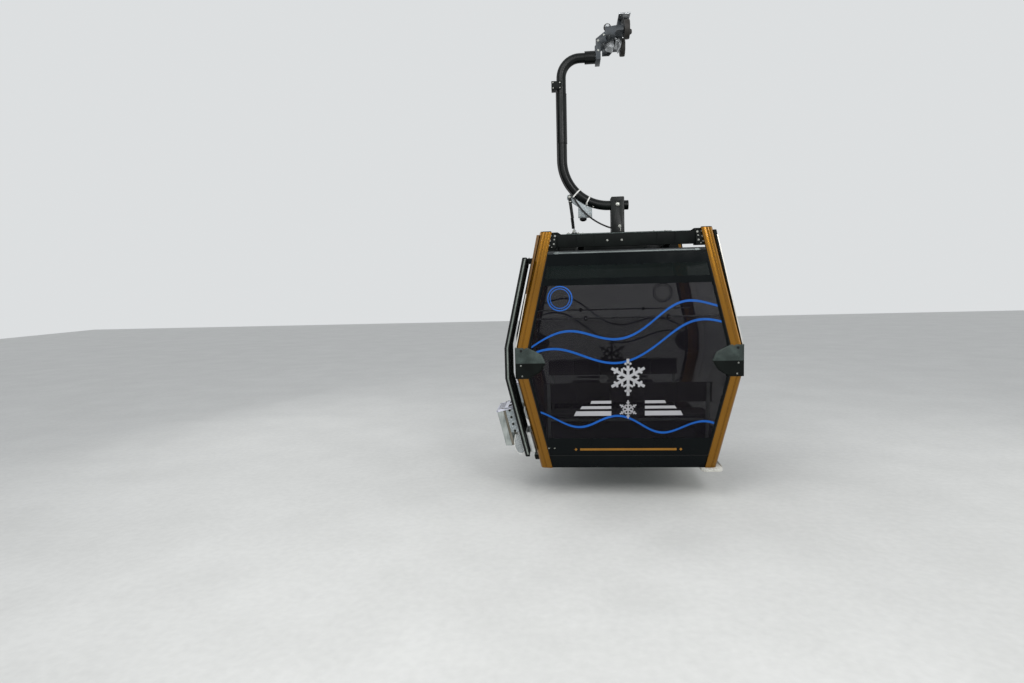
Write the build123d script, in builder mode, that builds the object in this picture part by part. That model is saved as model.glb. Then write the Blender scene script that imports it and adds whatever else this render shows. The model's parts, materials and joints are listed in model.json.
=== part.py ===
"""Ropeway gondola cabin with its hanger and detachable rope grip, in millimetres.

The haul rope runs along Y through the origin, Z is up, and the door side faces -X.
Heights of the cabin are counted up from the foot of its corner posts.
"""

import os
from math import cos, radians, sin, sqrt

from build123d import *

# Rope grip
rope_radius = 25.0
jaw_length = 240.0
jaw_lip = 8.0
jaw_wall = 14.0
jaw_neck = 36.0
jaw_gap = 0.3
fixed_jaw_low = -25.0
fixed_jaw_high = 110.0
moving_jaw_low = 205.0
moving_jaw_high = 132.0
pivot_x = -85.0
pivot_z = 60.0
torsion_tube_radius = 28.0
running_gap = 0.05
jaw_hub_radius = 44.0
jaw_hub_length = 160.0
grip_plate_thickness = 25.0
grip_plate_gap = 10.0
grip_plate_edge = 40.0
grip_plate_crown = 30.0
grip_beam_length = 620.0
grip_beam_width = 72.0
grip_beam_height = 50.0
grip_beam_rise = 35.0
grip_beam_x = 26.0
grip_leg_x = -190.0
grip_leg_width = 50.0
pin_boss = 60.0
lever_height = 150.0
lever_width = 44.0
lever_thickness = 14.0
lever_roller_radius = 40.0
lever_roller_width = 36.0
side_play = 5.0
small_axle_radius = 10.0
running_wheel_radius = 95.0
running_wheel_width = 54.0
wheel_axle_radius = 14.0
wheel_spacing = 500.0
guide_roller_radius = 45.0
guide_roller_height = 40.0
guide_axle_x = 130.0
guide_shelf_width = 40.0
guide_shelf_thickness = 18.0
drive_shoe_length = 520.0
drive_shoe_width = 120.0
drive_shoe_thickness = 14.0
drive_shoe_z = 236.0
shoe_bracket_x = 15.0
shoe_bracket_depth = 36.0
shoe_bracket_spacing = 208.0

# Hanger
hanger_pin_z = -90.0
hanger_pin_radius = 26.0
pin_collar_radius = 34.0
pin_collar_thickness = 12.0
hanger_tube_radius = 51.0
hanger_tube_wall = 9.0
hanger_reach = 585.0
hanger_top_bend = 200.0
hanger_low_bend = 500.0
hanger_tail = 120.0
hanger_low_z = -1660.0
hub_radius = 66.0
hub_length = 110.0
sleeve_rise = 680.0
sleeve_length = 520.0
sleeve_radius = 55.0

# Cabin envelope at the outer faces of the corner posts
shell_foot_height = -30.0
knee_low_height = 875.0
knee_top_height = 1175.0
roof_edge_height = 2060.0
post_rise = 220.0
post_height = roof_edge_height + post_rise
foot_half_width = 857.0
knee_half_width = 1064.0
top_half_width = 815.0
foot_half_length = 955.0
knee_half_length = 1038.0
top_half_length = 925.0

# Corner posts and their knee caps
post_width = 112.0
post_wall = 38.0
post_round = 48.0
cap_thickness = 14.0
cap_round = 30.0
cap_slope = 18.0
cap_tip_height = 1025.0
cap_low_curve = 60.0
cap_top_curve = 65.0
trim_low_reach = 6.0
trim_top_reach = 28.0
trim_top_drop = 24.0
trim_front = 20.0
trim_back = 62.0

# Shell
glass_thickness = 8.0
glass_recess = 8.0
sill_height = 95.0
panel_thickness = 40.0
roof_thickness = 34.0
ceiling_thickness = 12.0
header_thickness = 60.0
liner_gap = 3.0
floor_drop = 3.0
floor_height = sill_height - floor_drop
floor_thickness = 55.0
mat_thickness = 5.0
mat_margin = 6.0
mat_notch_gap = 2.0

# Door side
door_half_opening = 460.0
jamb_width = 40.0
header_drop = 75.0
header_height = roof_edge_height - header_drop
leaf_width = 480.0
leaf_foot_height = 100.0
leaf_top_drop = 20.0
leaf_top_height = roof_edge_height - leaf_top_drop
leaf_gap = 66.0
leaf_thickness = 50.0
stile_width = 58.0
kick_panel_top = 330.0
door_rail_depth = 42.0
door_rail_height = 45.0
door_rail_end_gap = 65.0
upper_rail_rise = 5.0
upper_rail_height = header_height + upper_rail_rise
lower_rail_height = 40.0
door_arm_width = 70.0
upper_arm_places = (30.0, 280.0)
lower_arm_places = (8.0,)
door_arm_end_gap = 5.0

# Ski racks on the leaves
comb_height = 590.0
comb_depth = 180.0
comb_thickness = 14.0
comb_half_length = 190.0
comb_slot_width = 26.0
comb_slot_length = 130.0
comb_slot_count = 5
comb_slot_pitch = 68.0
rack_foot_height = 175.0
rack_foot_depth = 110.0
rack_plate = 4.0
rack_lip = 42.0
bin_foot_height = 115.0
bin_top_height = 320.0
bin_depth = 92.0
bin_wall = 4.0
bin_half_length = 150.0
inner_bin_depth = 52.0

# Benches and window bars
seat_height = 450.0
seat_thickness = 34.0
seat_depth = 430.0
seat_half_length = 800.0
seat_count = 5
seat_gap = 12.0
seat_round = 30.0
bench_wall_gap = 70.0
back_low_height = 620.0
back_top_height = 806.0
back_thickness = 36.0
bench_tube = 32.0
bench_post_x = 760.0
window_bar_height = 1445.0
window_bar_radius = 9.0
window_bar_gap = 40.0
window_bar_bracket = 392.0
window_clip_width = 14.0
bar_end_gap = 4.0

# Roof frame, mast and damper
frame_gap = 38.0
frame_height = 125.0
frame_thickness = 60.0
beam_end_gap = 155.0
end_beam_half_length = top_half_width - beam_end_gap
beam_inset = 75.0
end_beam_y = top_half_length - beam_inset
rail_x = 420.0
rail_width = 60.0
rail_height = 68.0
frame_foot_y = 620.0
channel_half_length = 560.0
channel_width = 50.0
channel_height = 120.0
corner_bracket_inset = 155.0
corner_bracket_drop = 12.0
frame_low = roof_edge_height + roof_thickness + frame_gap
mast_foot_height = frame_low + rail_height
channel_top_height = mast_foot_height + channel_height
mast_width = 142.0
mast_plate = 16.0
mast_side_gap = 1.0
mast_corner = 12.0
mast_bolt_rise = 420.0
mast_bolt_height = mast_foot_height + mast_bolt_rise
cabin_foot_z = hanger_low_z - mast_bolt_height
mast_crown = 85.0
mast_top_height = mast_bolt_height + mast_crown
mast_bolt_radius = 14.0
bolt_head_radius = 24.0
bolt_head = 14.0
damper_top_inset = 68.0
damper_top_x = damper_top_inset - hanger_reach
damper_top_rise = 102.0
damper_top_height = mast_bolt_height + damper_top_rise
damper_foot_inset = 116.0
damper_foot_x = damper_foot_inset - hanger_reach
damper_foot_rise = 30.0
damper_foot_height = channel_top_height + damper_foot_rise
damper_barrel_radius = 17.0
damper_rod_radius = 9.0
damper_eye_radius = 20.0
damper_eye_width = 38.0
damper_pin_radius = 8.0
barrel_share = 0.62
damper_seat_length = 64.0
bracket_plate = 12.0
damper_seat_thickness = 16.0
# Corners of the damper's upper bracket: across and up from the top pin
damper_bracket_corners = ((-26, -22), (-26, 26), (60, 40), (190, -60), (180, -120), (110, -120))

# Cable strapped to the hanger
cable_radius = 9.0
cable_box_gap = 40.0
cable_top_z = hanger_low_z + sleeve_rise + sleeve_length + cable_box_gap
cable_leave_angle = 224.0
cable_y = -38.0
cable_seat_gap = 0.3
cable_box_depth = 110.0
cable_box_width = 110.0
cable_box_height = 90.0
gland_width = 44.0
gland_rise = 162.0
gland_height = mast_foot_height + gland_rise

# Beams under the floor
floor_beam_x = 420.0
floor_beam_width = 60.0
floor_beam_foot_height = -20.0
floor_beam_half_length = 850.0
cross_beam_y = 560.0
cross_beam_half_length = 740.0

# Skid under the closed side
skid_inner_x = 700.0
skid_outer_x = 905.0
skid_thickness = 30.0
skid_half_length = 1000.0
skid_round = 60.0

parts_folder = "parts"
os.makedirs(parts_folder, exist_ok=True)


def save(part, name):
    """Label a finished piece and write its file."""
    part.label = name
    export_step(part, f"{parts_folder}/{name}.step")


def up(height):
    """Z of a height above the foot of the posts."""
    return cabin_foot_z + height


def between(height, foot, knee, top):
    """Value that changes evenly up to the knee caps, stays the same behind them, and changes evenly above."""
    if height <= knee_low_height:
        return foot + (knee - foot) * height / knee_low_height
    if height <= knee_top_height:
        return knee
    return knee + (top - knee) * (height - knee_top_height) / (post_height - knee_top_height)


def half_width(height):
    """Half the width over the posts' outer faces."""
    return between(height, foot_half_width, knee_half_width, top_half_width)


def half_length(height):
    """Half the length over the posts' outer faces."""
    return between(height, foot_half_length, knee_half_length, top_half_length)


def levels(low, high):
    """Heights at which a bent piece has a section."""
    return [low, *(height for height in (knee_low_height, knee_top_height) if low < height < high), high]


def bent_bar(low, high, outline):
    """Solid through the plan outlines at its ends and at the bends that it passes."""
    with BuildPart() as bar:
        for height in levels(low, high):
            with BuildSketch(Plane.XY.offset(up(height))):
                with BuildLine():
                    Polyline(*outline(height), close=True)
                make_face()
        loft(ruled=True)
    return bar.part


def rectangle(x_low, x_high, y_low, y_high):
    """Corner points of a plan rectangle."""
    return [(x_low, y_low), (x_high, y_low), (x_high, y_high), (x_low, y_high)]


def end_wall(low, high, end, outer, thickness, margin):
    """Piece of the end wall, outer behind the posts' face and margin in from their sides."""

    def outline(height):
        edge = half_width(height) - margin
        face = end * (half_length(height) - outer)
        back = end * (half_length(height) - outer - thickness)
        return rectangle(-edge, edge, face, back)

    return bent_bar(low, high, outline)


def side_wall(low, high, side, outer, thickness, y_low, y_high):
    """Piece of a side wall between two lines of y, each a function of height."""

    def outline(height):
        face = side * (half_width(height) - outer)
        back = side * (half_width(height) - outer - thickness)
        return rectangle(face, back, y_low(height), y_high(height))

    return bent_bar(low, high, outline)


def inside_posts(height):
    """Half length between the posts along a side wall."""
    return half_length(height) - post_width


# Grip frame: two plates over the rope, a long beam for the wheels and a leg for the hanger pin
beam_low_z = rope_radius + grip_beam_rise
beam_top_z = beam_low_z + grip_beam_height
beam_middle_z = (beam_low_z + beam_top_z) / 2
beam_x_low = grip_beam_x - grip_beam_width / 2
beam_x_high = grip_beam_x + grip_beam_width / 2
plate_y = jaw_hub_length / 2 + grip_plate_gap
leg_outer_x = grip_leg_x - grip_leg_width / 2
leg_inner_x = grip_leg_x + grip_leg_width / 2
leg_foot_z = hanger_pin_z - pin_boss
wheel_inner_x = beam_x_high + side_play
guide_shelf_z = beam_top_z + guide_shelf_thickness

with BuildPart() as grip_frame:
    for end in (-1, 1):
        with BuildSketch(Plane.XZ.offset(-end * plate_y)):
            with BuildLine():
                Polyline(
                    (leg_outer_x, leg_foot_z),
                    (leg_inner_x, leg_foot_z),
                    (leg_inner_x, 0),
                    (pivot_x - grip_plate_edge, pivot_z - grip_plate_edge),
                    (pivot_x + grip_plate_edge, pivot_z - grip_plate_edge / 2),
                    (beam_x_low, beam_low_z),
                    (beam_x_high, beam_low_z),
                    (beam_x_high, beam_top_z),
                    (pivot_x - grip_plate_edge / 2, beam_top_z + grip_plate_crown),
                    (leg_outer_x, pivot_z),
                    close=True,
                )
            make_face()
        extrude(amount=-end * grip_plate_thickness)
    with BuildSketch(Plane.XY.offset(beam_low_z)):
        with Locations((grip_beam_x, 0)):
            Rectangle(grip_beam_width, grip_beam_length)
    extrude(amount=grip_beam_height)
    with BuildSketch(Plane.YZ.offset(leg_outer_x)):
        with Locations((0, hanger_pin_z)):
            Rectangle(2 * plate_y, 2 * (hanger_pin_z - leg_foot_z))
    extrude(amount=grip_leg_width)
    with BuildSketch(Plane.XZ.offset(-grip_beam_length / 2)):
        with Locations((pivot_x, pivot_z)):
            Circle(torsion_tube_radius)
    extrude(amount=grip_beam_length)
    for end in (-1, 1):
        with BuildSketch(Plane.XZ.offset(-end * (grip_beam_length / 2 - grip_plate_thickness))):
            with BuildLine():
                Polyline(
                    (pivot_x - grip_plate_edge, pivot_z - grip_plate_edge),
                    (pivot_x + grip_plate_edge, pivot_z - grip_plate_edge),
                    (beam_x_low, beam_low_z),
                    (beam_x_low, beam_top_z),
                    (pivot_x - grip_plate_edge, pivot_z + grip_plate_edge),
                    close=True,
                )
            make_face()
        extrude(amount=-end * grip_plate_thickness)
        with BuildSketch(Plane.YZ.offset(beam_x_high)):
            with Locations((end * wheel_spacing / 2, beam_middle_z)):
                Circle(wheel_axle_radius)
        extrude(amount=running_wheel_width + 2 * side_play)
        with BuildSketch(Plane.YZ.offset(shoe_bracket_x)):
            with Locations((end * shoe_bracket_spacing / 2, (beam_top_z + drive_shoe_z) / 2)):
                Rectangle(grip_plate_thickness, drive_shoe_z - beam_top_z)
        extrude(amount=shoe_bracket_depth)
    with BuildSketch(Plane.XY.offset(beam_top_z)):
        with Locations(((beam_x_low + guide_axle_x) / 2, 0)):
            Rectangle(guide_axle_x - beam_x_low + guide_shelf_width, guide_shelf_width)
    extrude(amount=guide_shelf_thickness)
    with BuildSketch(Plane.XY.offset(guide_shelf_z)):
        with Locations((guide_axle_x, 0)):
            Circle(wheel_axle_radius)
    extrude(amount=guide_roller_height + 2 * side_play)
save(grip_frame.part, "grip_frame")



def on_circle(radius, angle):
    """Point of a circle round the rope, the angle in degrees up from +X."""
    return (radius * cos(radians(angle)), radius * sin(radians(angle)))


# Fixed jaw over and beside the rope
with BuildPart() as fixed_jaw:
    with BuildSketch(Plane.XZ.offset(-jaw_length / 2)):
        with BuildLine():
            low_edge = on_circle(rope_radius, fixed_jaw_low)
            high_edge = on_circle(rope_radius, fixed_jaw_high)
            ThreePointArc(low_edge, on_circle(rope_radius, (fixed_jaw_low + fixed_jaw_high) / 2), high_edge)
            Polyline(
                high_edge,
                (beam_x_low, beam_low_z),
                (beam_x_high - jaw_lip, beam_low_z),
                (rope_radius + 2 * jaw_wall, 0),
                (rope_radius + jaw_lip, -rope_radius),
                low_edge,
            )
        make_face()
    extrude(amount=jaw_length)
save(fixed_jaw.part, "fixed_jaw")

# Moving jaw with its hub on the torsion tube and the opening lever
jaw_bore = rope_radius + jaw_gap
roller_z = pivot_z + lever_height
with BuildPart() as moving_jaw:
    with BuildSketch(Plane.XZ.offset(-jaw_hub_length / 2)):
        with Locations((pivot_x, pivot_z)):
            Circle(jaw_hub_radius)
    extrude(amount=jaw_hub_length)
    with BuildSketch(Plane.XZ.offset(-jaw_hub_length / 2)):
        with BuildLine():
            low_edge = on_circle(jaw_bore, moving_jaw_low)
            high_edge = on_circle(jaw_bore, moving_jaw_high)
            ThreePointArc(low_edge, on_circle(jaw_bore, (moving_jaw_low + moving_jaw_high) / 2), high_edge)
            Polyline(
                high_edge,
                (-rope_radius, rope_radius + jaw_lip),
                (pivot_x + jaw_neck, pivot_z),
                (pivot_x - jaw_neck, pivot_z - jaw_neck / 2),
                (pivot_x - jaw_lip, -jaw_lip),
                (-rope_radius - jaw_wall, -rope_radius),
                low_edge,
            )
        make_face()
    extrude(amount=jaw_hub_length)
    for side in (-1, 1):
        inner = lever_roller_width / 2 + side_play
        with BuildSketch(Plane.XZ.offset(-side * inner)):
            with Locations((pivot_x, pivot_z + lever_height / 2)):
                Rectangle(lever_width, lever_height)
            with Locations((pivot_x, roller_z)):
                Circle(lever_width / 2)
        extrude(amount=-side * lever_thickness)
    with BuildSketch(Plane.XZ.offset(-lever_roller_width / 2 - side_play - lever_thickness)):
        with Locations((pivot_x, roller_z)):
            Circle(small_axle_radius)
    extrude(amount=lever_roller_width + 2 * side_play + 2 * lever_thickness)
    with BuildSketch(Plane.XZ.offset(-grip_beam_length / 2)):
        with Locations((pivot_x, pivot_z)):
            Circle(torsion_tube_radius + running_gap)
    extrude(amount=grip_beam_length, mode=Mode.SUBTRACT)
save(moving_jaw.part, "moving_jaw")

# Roller at the end of the lever
with BuildPart() as lever_roller:
    with BuildSketch(Plane.XZ.offset(-lever_roller_width / 2)):
        with Locations((pivot_x, roller_z)):
            Circle(lever_roller_radius)
            Circle(small_axle_radius + running_gap, mode=Mode.SUBTRACT)
    extrude(amount=lever_roller_width)
save(lever_roller.part, "lever_roller")

# Running wheels on the station rail, fore and aft
for name, end in (("front", -1), ("rear", 1)):
    with BuildPart() as wheel:
        with BuildSketch(Plane.YZ.offset(wheel_inner_x)):
            with Locations((end * wheel_spacing / 2, beam_middle_z)):
                Circle(running_wheel_radius)
                Circle(wheel_axle_radius + running_gap, mode=Mode.SUBTRACT)
        extrude(amount=running_wheel_width)
    save(wheel.part, f"running_wheel_{name}")

# Guide roller that turns level
with BuildPart() as guide_roller:
    with BuildSketch(Plane.XY.offset(guide_shelf_z + side_play)):
        with Locations((guide_axle_x, 0)):
            Circle(guide_roller_radius)
            Circle(wheel_axle_radius + running_gap, mode=Mode.SUBTRACT)
    extrude(amount=guide_roller_height)
save(guide_roller.part, "guide_roller")

# Drive shoe: the plate that the station's tyres push along
with BuildPart() as drive_shoe:
    with BuildSketch(Plane.XY.offset(drive_shoe_z)):
        with Locations((shoe_bracket_x + drive_shoe_width / 2, 0)):
            Rectangle(drive_shoe_width, drive_shoe_length)
    extrude(amount=drive_shoe_thickness)
save(drive_shoe.part, "drive_shoe")

# Hanger pin, fixed in the grip
hub_x = leg_outer_x - side_play
with BuildPart() as hanger_pin:
    with BuildSketch(Plane.YZ.offset(leg_outer_x)):
        with Locations((0, hanger_pin_z)):
            Circle(hanger_pin_radius)
    extrude(amount=-(hub_length + 2 * side_play))
    with BuildSketch(Plane.YZ.offset(hub_x - hub_length - side_play)):
        with Locations((0, hanger_pin_z)):
            Circle(pin_collar_radius)
    extrude(amount=-pin_collar_thickness)
save(hanger_pin.part, "hanger_pin")

# Hanger: a tube from the hub outwards, down and back under the mast bolt
hanger_x = -hanger_reach
with BuildLine() as hanger_line:
    FilletPolyline(
        (hub_x - hub_length, 0, hanger_pin_z),
        (hanger_x, 0, hanger_pin_z),
        (hanger_x, 0, hanger_low_z),
        (hanger_tail, 0, hanger_low_z),
        radius=[hanger_top_bend, hanger_low_bend],
    )
hub_end = Plane(origin=(hub_x - hub_length, 0, hanger_pin_z), z_dir=(-1, 0, 0))


def hanger_sweep(radius):
    """Round bar of one radius along the hanger's line."""
    with BuildPart() as bar:
        with BuildSketch(hub_end):
            Circle(radius)
        sweep(path=hanger_line.wires()[0])
    return bar.part


hanger_envelope = hanger_sweep(hanger_tube_radius)
with BuildPart() as hanger_arm:
    add(hanger_envelope)
    add(hanger_sweep(hanger_tube_radius - hanger_tube_wall), mode=Mode.SUBTRACT)
    with BuildSketch(Plane.YZ.offset(hub_x)):
        with Locations((0, hanger_pin_z)):
            Circle(hub_radius)
            Circle(hanger_pin_radius + running_gap, mode=Mode.SUBTRACT)
    extrude(amount=-hub_length)
    with BuildSketch(Plane.XY.offset(hanger_low_z + sleeve_rise)):
        with Locations((hanger_x, 0)):
            Circle(sleeve_radius)
            Circle(hanger_tube_radius - hanger_tube_wall, mode=Mode.SUBTRACT)
    extrude(amount=sleeve_length)
    with BuildSketch(Plane.XZ.offset(-hub_radius)):
        with Locations((0, hanger_low_z)):
            Circle(mast_bolt_radius)
    extrude(amount=2 * hub_radius, mode=Mode.SUBTRACT)
    with BuildSketch(Plane.YZ.offset(hanger_tail)):
        with Locations((0, hanger_low_z)):
            Circle(hanger_tube_radius)
    extrude(amount=-hanger_tube_wall)
save(hanger_arm.part, "hanger_arm")

# Mast: two plates that hold the end of the hanger, with their bolt
mast_y = hanger_tube_radius + mast_side_gap
with BuildPart() as mast:
    for side in (-1, 1):
        with BuildSketch(Plane.XZ.offset(-side * mast_y)):
            with Locations((0, up((mast_foot_height + mast_top_height) / 2))):
                RectangleRounded(mast_width, mast_top_height - mast_foot_height, mast_corner)
            with Locations((0, hanger_low_z)):
                Circle(mast_bolt_radius, mode=Mode.SUBTRACT)
        extrude(amount=-side * mast_plate)
    with BuildSketch(Plane.XZ.offset(-mast_y)):
        with Locations((-mast_width / 2 + gland_width / 2, up(gland_height))):
            Rectangle(gland_width, gland_width)
    extrude(amount=2 * mast_y)
save(mast.part, "mast")

with BuildPart() as mast_bolt:
    with BuildSketch(Plane.XZ.offset(-(mast_y + mast_plate))):
        with Locations((0, hanger_low_z)):
            Circle(mast_bolt_radius)
    extrude(amount=2 * (mast_y + mast_plate))
    for side in (-1, 1):
        with BuildSketch(Plane.XZ.offset(-side * (mast_y + mast_plate))):
            with Locations((0, hanger_low_z)):
                RegularPolygon(bolt_head_radius, 6)
        extrude(amount=-side * bolt_head)
save(mast_bolt.part, "mast_bolt")

# Damper between the hanger and the roof frame
with BuildPart() as damper_bracket:
    with BuildSketch(Plane.XZ.offset(-bracket_plate / 2)):
        with BuildLine():
            corners = [(damper_top_x + x, up(damper_top_height + z)) for x, z in damper_bracket_corners]
            Polyline(*corners, close=True)
        make_face()
        with Locations((damper_top_x, up(damper_top_height))):
            Circle(damper_pin_radius, mode=Mode.SUBTRACT)
    extrude(amount=bracket_plate)
    add(hanger_envelope, mode=Mode.SUBTRACT)
save(damper_bracket.part, "damper_bracket")

damper_top = Vector(damper_top_x, -(bracket_plate + damper_eye_width) / 2, up(damper_top_height))
damper_foot = Vector(damper_foot_x, -(bracket_plate + damper_eye_width) / 2, up(damper_foot_height))
damper_axis = (damper_foot - damper_top).normalized()
damper_length = (damper_foot - damper_top).length


def damper_plane(distance):
    """Plane square to the damper, a distance down from its top eye."""
    return Plane(origin=damper_top + damper_axis * distance, z_dir=damper_axis)


barrel_length = damper_length * barrel_share
with BuildPart() as damper_barrel:
    with BuildSketch(damper_plane(damper_eye_radius / 2)):
        Circle(damper_barrel_radius)
    extrude(amount=barrel_length - damper_eye_radius / 2)
    with BuildSketch(Plane.XZ.offset(bracket_plate / 2)):
        with Locations((damper_top.X, damper_top.Z)):
            Circle(damper_eye_radius)
    extrude(amount=damper_eye_width)
    with BuildSketch(Plane.XZ.offset(-bracket_plate / 2)):
        with Locations((damper_top.X, damper_top.Z)):
            Circle(damper_pin_radius)
    extrude(amount=bracket_plate + damper_eye_width)
save(damper_barrel.part, "damper_barrel")

with BuildPart() as damper_rod:
    with BuildSketch(damper_plane(barrel_length)):
        Circle(damper_rod_radius)
    extrude(amount=damper_length - barrel_length)
    with BuildSketch(Plane.XZ.offset(bracket_plate / 2)):
        with Locations((damper_foot.X, damper_foot.Z)):
            Circle(damper_eye_radius)
    extrude(amount=damper_eye_width)
    with BuildSketch(Plane.XZ.offset(-bracket_plate / 2)):
        with Locations((damper_foot.X, damper_foot.Z)):
            Circle(damper_pin_radius)
    extrude(amount=bracket_plate)
save(damper_rod.part, "damper_rod")

# Cable: clipped along the outside of the hanger, then slack to the mast
cable_side = sqrt((sleeve_radius + cable_radius + cable_seat_gap) ** 2 - cable_y**2)
cable_bend = hanger_low_bend + cable_side
bend_x = hanger_x + hanger_low_bend
bend_z = hanger_low_z + hanger_low_bend
cable_x = bend_x - cable_bend
leave = radians(cable_leave_angle)
cable_leave = (bend_x + cable_bend * cos(leave), cable_y, bend_z + cable_bend * sin(leave))
halfway = radians((180 + cable_leave_angle) / 2)
cable_middle = (bend_x + cable_bend * cos(halfway), cable_y, bend_z + cable_bend * sin(halfway))
with BuildPart() as hanger_cable:
    with BuildLine() as cable_line:
        Line((cable_x, cable_y, cable_top_z), (cable_x, cable_y, bend_z))
        ThreePointArc((cable_x, cable_y, bend_z), cable_middle, cable_leave)
        TangentArc(
            cable_leave,
            (gland_width / 2 - mast_width / 2, cable_y, up(gland_height)),
            tangent=(-sin(leave), 0, cos(leave)),
        )
    with BuildSketch(Plane(origin=(cable_x, cable_y, cable_top_z), z_dir=(0, 0, -1))):
        Circle(cable_radius)
    sweep(path=cable_line.wires()[0])
    split(bisect_by=Plane.YZ.offset(-mast_width / 2), keep=Keep.BOTTOM)
save(hanger_cable.part, "hanger_cable")

with BuildPart() as cable_box:
    with BuildSketch(Plane.XY.offset(cable_top_z)):
        with Locations((hanger_x - hanger_tube_radius, 0)):
            Rectangle(cable_box_depth, cable_box_width)
    extrude(amount=cable_box_height)
    add(hanger_envelope, mode=Mode.SUBTRACT)
save(cable_box.part, "cable_box")

# Roof frame: end beams, rails along the line, and channels that hold the mast
channel_y = mast_y + mast_plate
with BuildPart() as roof_frame:
    for end in (-1, 1):
        with BuildSketch(Plane.XY.offset(up(frame_low))):
            with Locations((0, end * end_beam_y)):
                Rectangle(2 * end_beam_half_length, frame_thickness)
        extrude(amount=frame_height)
        with BuildSketch(Plane.XY.offset(up(mast_foot_height))):
            with Locations((0, end * (channel_y + channel_width / 2))):
                Rectangle(2 * channel_half_length, channel_width)
        extrude(amount=channel_height)
        with BuildSketch(Plane.XY.offset(up(frame_low))):
            with Locations((end * rail_x, 0)):
                Rectangle(rail_width, 2 * end_beam_y)
        extrude(amount=rail_height)
        with BuildSketch(Plane.XY.offset(up(roof_edge_height + roof_thickness))):
            with Locations(*[(x * rail_x, end * frame_foot_y) for x in (-1, 1)]):
                Rectangle(rail_width, rail_width)
        extrude(amount=frame_gap)
    with BuildSketch(Plane.XY.offset(up(channel_top_height))):
        with Locations((damper_foot_x, 0)):
            Rectangle(damper_seat_length, 2 * channel_y)
    extrude(amount=-damper_seat_thickness)
    with BuildSketch(Plane.XZ.offset(bracket_plate / 2)):
        with BuildLine():
            Polyline(
                (damper_foot_x - damper_seat_length / 2, up(channel_top_height)),
                (damper_foot_x + damper_seat_length / 2, up(channel_top_height)),
                (damper_foot_x + damper_eye_radius, up(damper_foot_height)),
                (damper_foot_x, up(damper_foot_height + damper_eye_radius)),
                (damper_foot_x - damper_eye_radius, up(damper_foot_height)),
                close=True,
            )
        make_face()
        with Locations((damper_foot_x, up(damper_foot_height))):
            Circle(damper_pin_radius, mode=Mode.SUBTRACT)
    extrude(amount=-bracket_plate)
save(roof_frame.part, "roof_frame")

# Corner brackets from the end beams to the post tops
bracket_low = frame_low - corner_bracket_drop


def corner_outline(height):
    """Plan of the bracket inside the corner of the first post."""
    return rectangle(
        end_beam_half_length,
        half_width(height) - post_wall,
        top_half_length - corner_bracket_inset,
        half_length(height) - post_wall,
    )


with BuildPart() as frame_brackets:
    add(bent_bar(bracket_low, frame_low + frame_height, corner_outline))
    mirror(about=Plane.YZ)
    mirror(about=Plane.XZ)
save(frame_brackets.part, "frame_brackets")


# Corner posts: an angle with a round outer corner, bent at the knee
def post_section(height):
    """Sketch of the post's section at one height, for the corner at +X and +Y."""
    x = half_width(height)
    y = half_length(height)
    turn = post_round * (1 - cos(radians(45)))
    with BuildSketch(Plane.XY.offset(up(height))) as section:
        with BuildLine():
            ThreePointArc((x - post_round, y), (x - turn, y - turn), (x, y - post_round))
            Polyline(
                (x, y - post_round),
                (x, y - post_width),
                (x - post_wall, y - post_width),
                (x - post_wall, y - post_wall),
                (x - post_width, y - post_wall),
                (x - post_width, y),
                (x - post_round, y),
            )
        make_face()
    return section.sketch


with BuildPart() as corner_post:
    add(post_section(shell_foot_height))
    add(post_section(knee_low_height))
    add(post_section(knee_top_height))
    add(post_section(post_height))
    loft(ruled=True)

for end_name, end in (("front", -1), ("rear", 1)):
    for side_name, side in (("door", -1), ("far", 1)):
        with BuildPart() as post:
            add(corner_post.part)
            if side < 0:
                mirror(about=Plane.YZ, mode=Mode.REPLACE)
            if end < 0:
                mirror(about=Plane.XZ, mode=Mode.REPLACE)
        save(post.part, f"post_{end_name}_{side_name}")

# Knee caps: columns are height, reach over the end wall and reach along the side wall
cap_rows = (
    (knee_low_height, 115.0, 112.0),
    (knee_low_height + cap_low_curve, 215.0, 116.0),
    (cap_tip_height, 264.0, 120.0),
    (knee_top_height - cap_top_curve, 232.0, 116.0),
    (knee_top_height, 114.0, 112.0),
)
with BuildPart() as knee_caps:
    for height, reach, side_reach in cap_rows:
        x = half_width(height)
        y = half_length(height)
        turn = cap_round * (1 - cos(radians(45)))
        with BuildSketch(Plane.XY.offset(up(height))):
            with BuildLine():
                ThreePointArc(
                    (x + cap_thickness - cap_round, y + cap_thickness),
                    (x + cap_thickness - turn, y + cap_thickness - turn),
                    (x + cap_thickness, y + cap_thickness - cap_round),
                )
                Polyline(
                    (x + cap_thickness, y + cap_thickness - cap_round),
                    (x + cap_thickness, y - side_reach + cap_slope),
                    (x, y - side_reach),
                    (x, y),
                    (x - reach, y),
                    (x - reach + cap_slope, y + cap_thickness),
                    (x + cap_thickness - cap_round, y + cap_thickness),
                )
            make_face()
    loft(ruled=True)
    mirror(about=Plane.YZ)
    mirror(about=Plane.XZ)
save(knee_caps.part, "knee_caps")


# Corner trims: the edge of the side walls' outer skin beside each post, over the knee caps
def trim_outline(height):
    """Plan of a trim, which stands out further towards the roof."""
    x = half_width(height)
    y = half_length(height)
    share = (height - knee_top_height) / (post_height - knee_top_height)
    reach = trim_low_reach + (trim_top_reach - trim_low_reach) * share
    return rectangle(x, x + reach, y - trim_back, y - trim_front)


with BuildPart() as corner_trims:
    add(bent_bar(knee_top_height, post_height - trim_top_drop, trim_outline))
    add(corner_post.part, mode=Mode.SUBTRACT)
    mirror(about=Plane.YZ)
    mirror(about=Plane.XZ)
save(corner_trims.part, "corner_trims")


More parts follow.
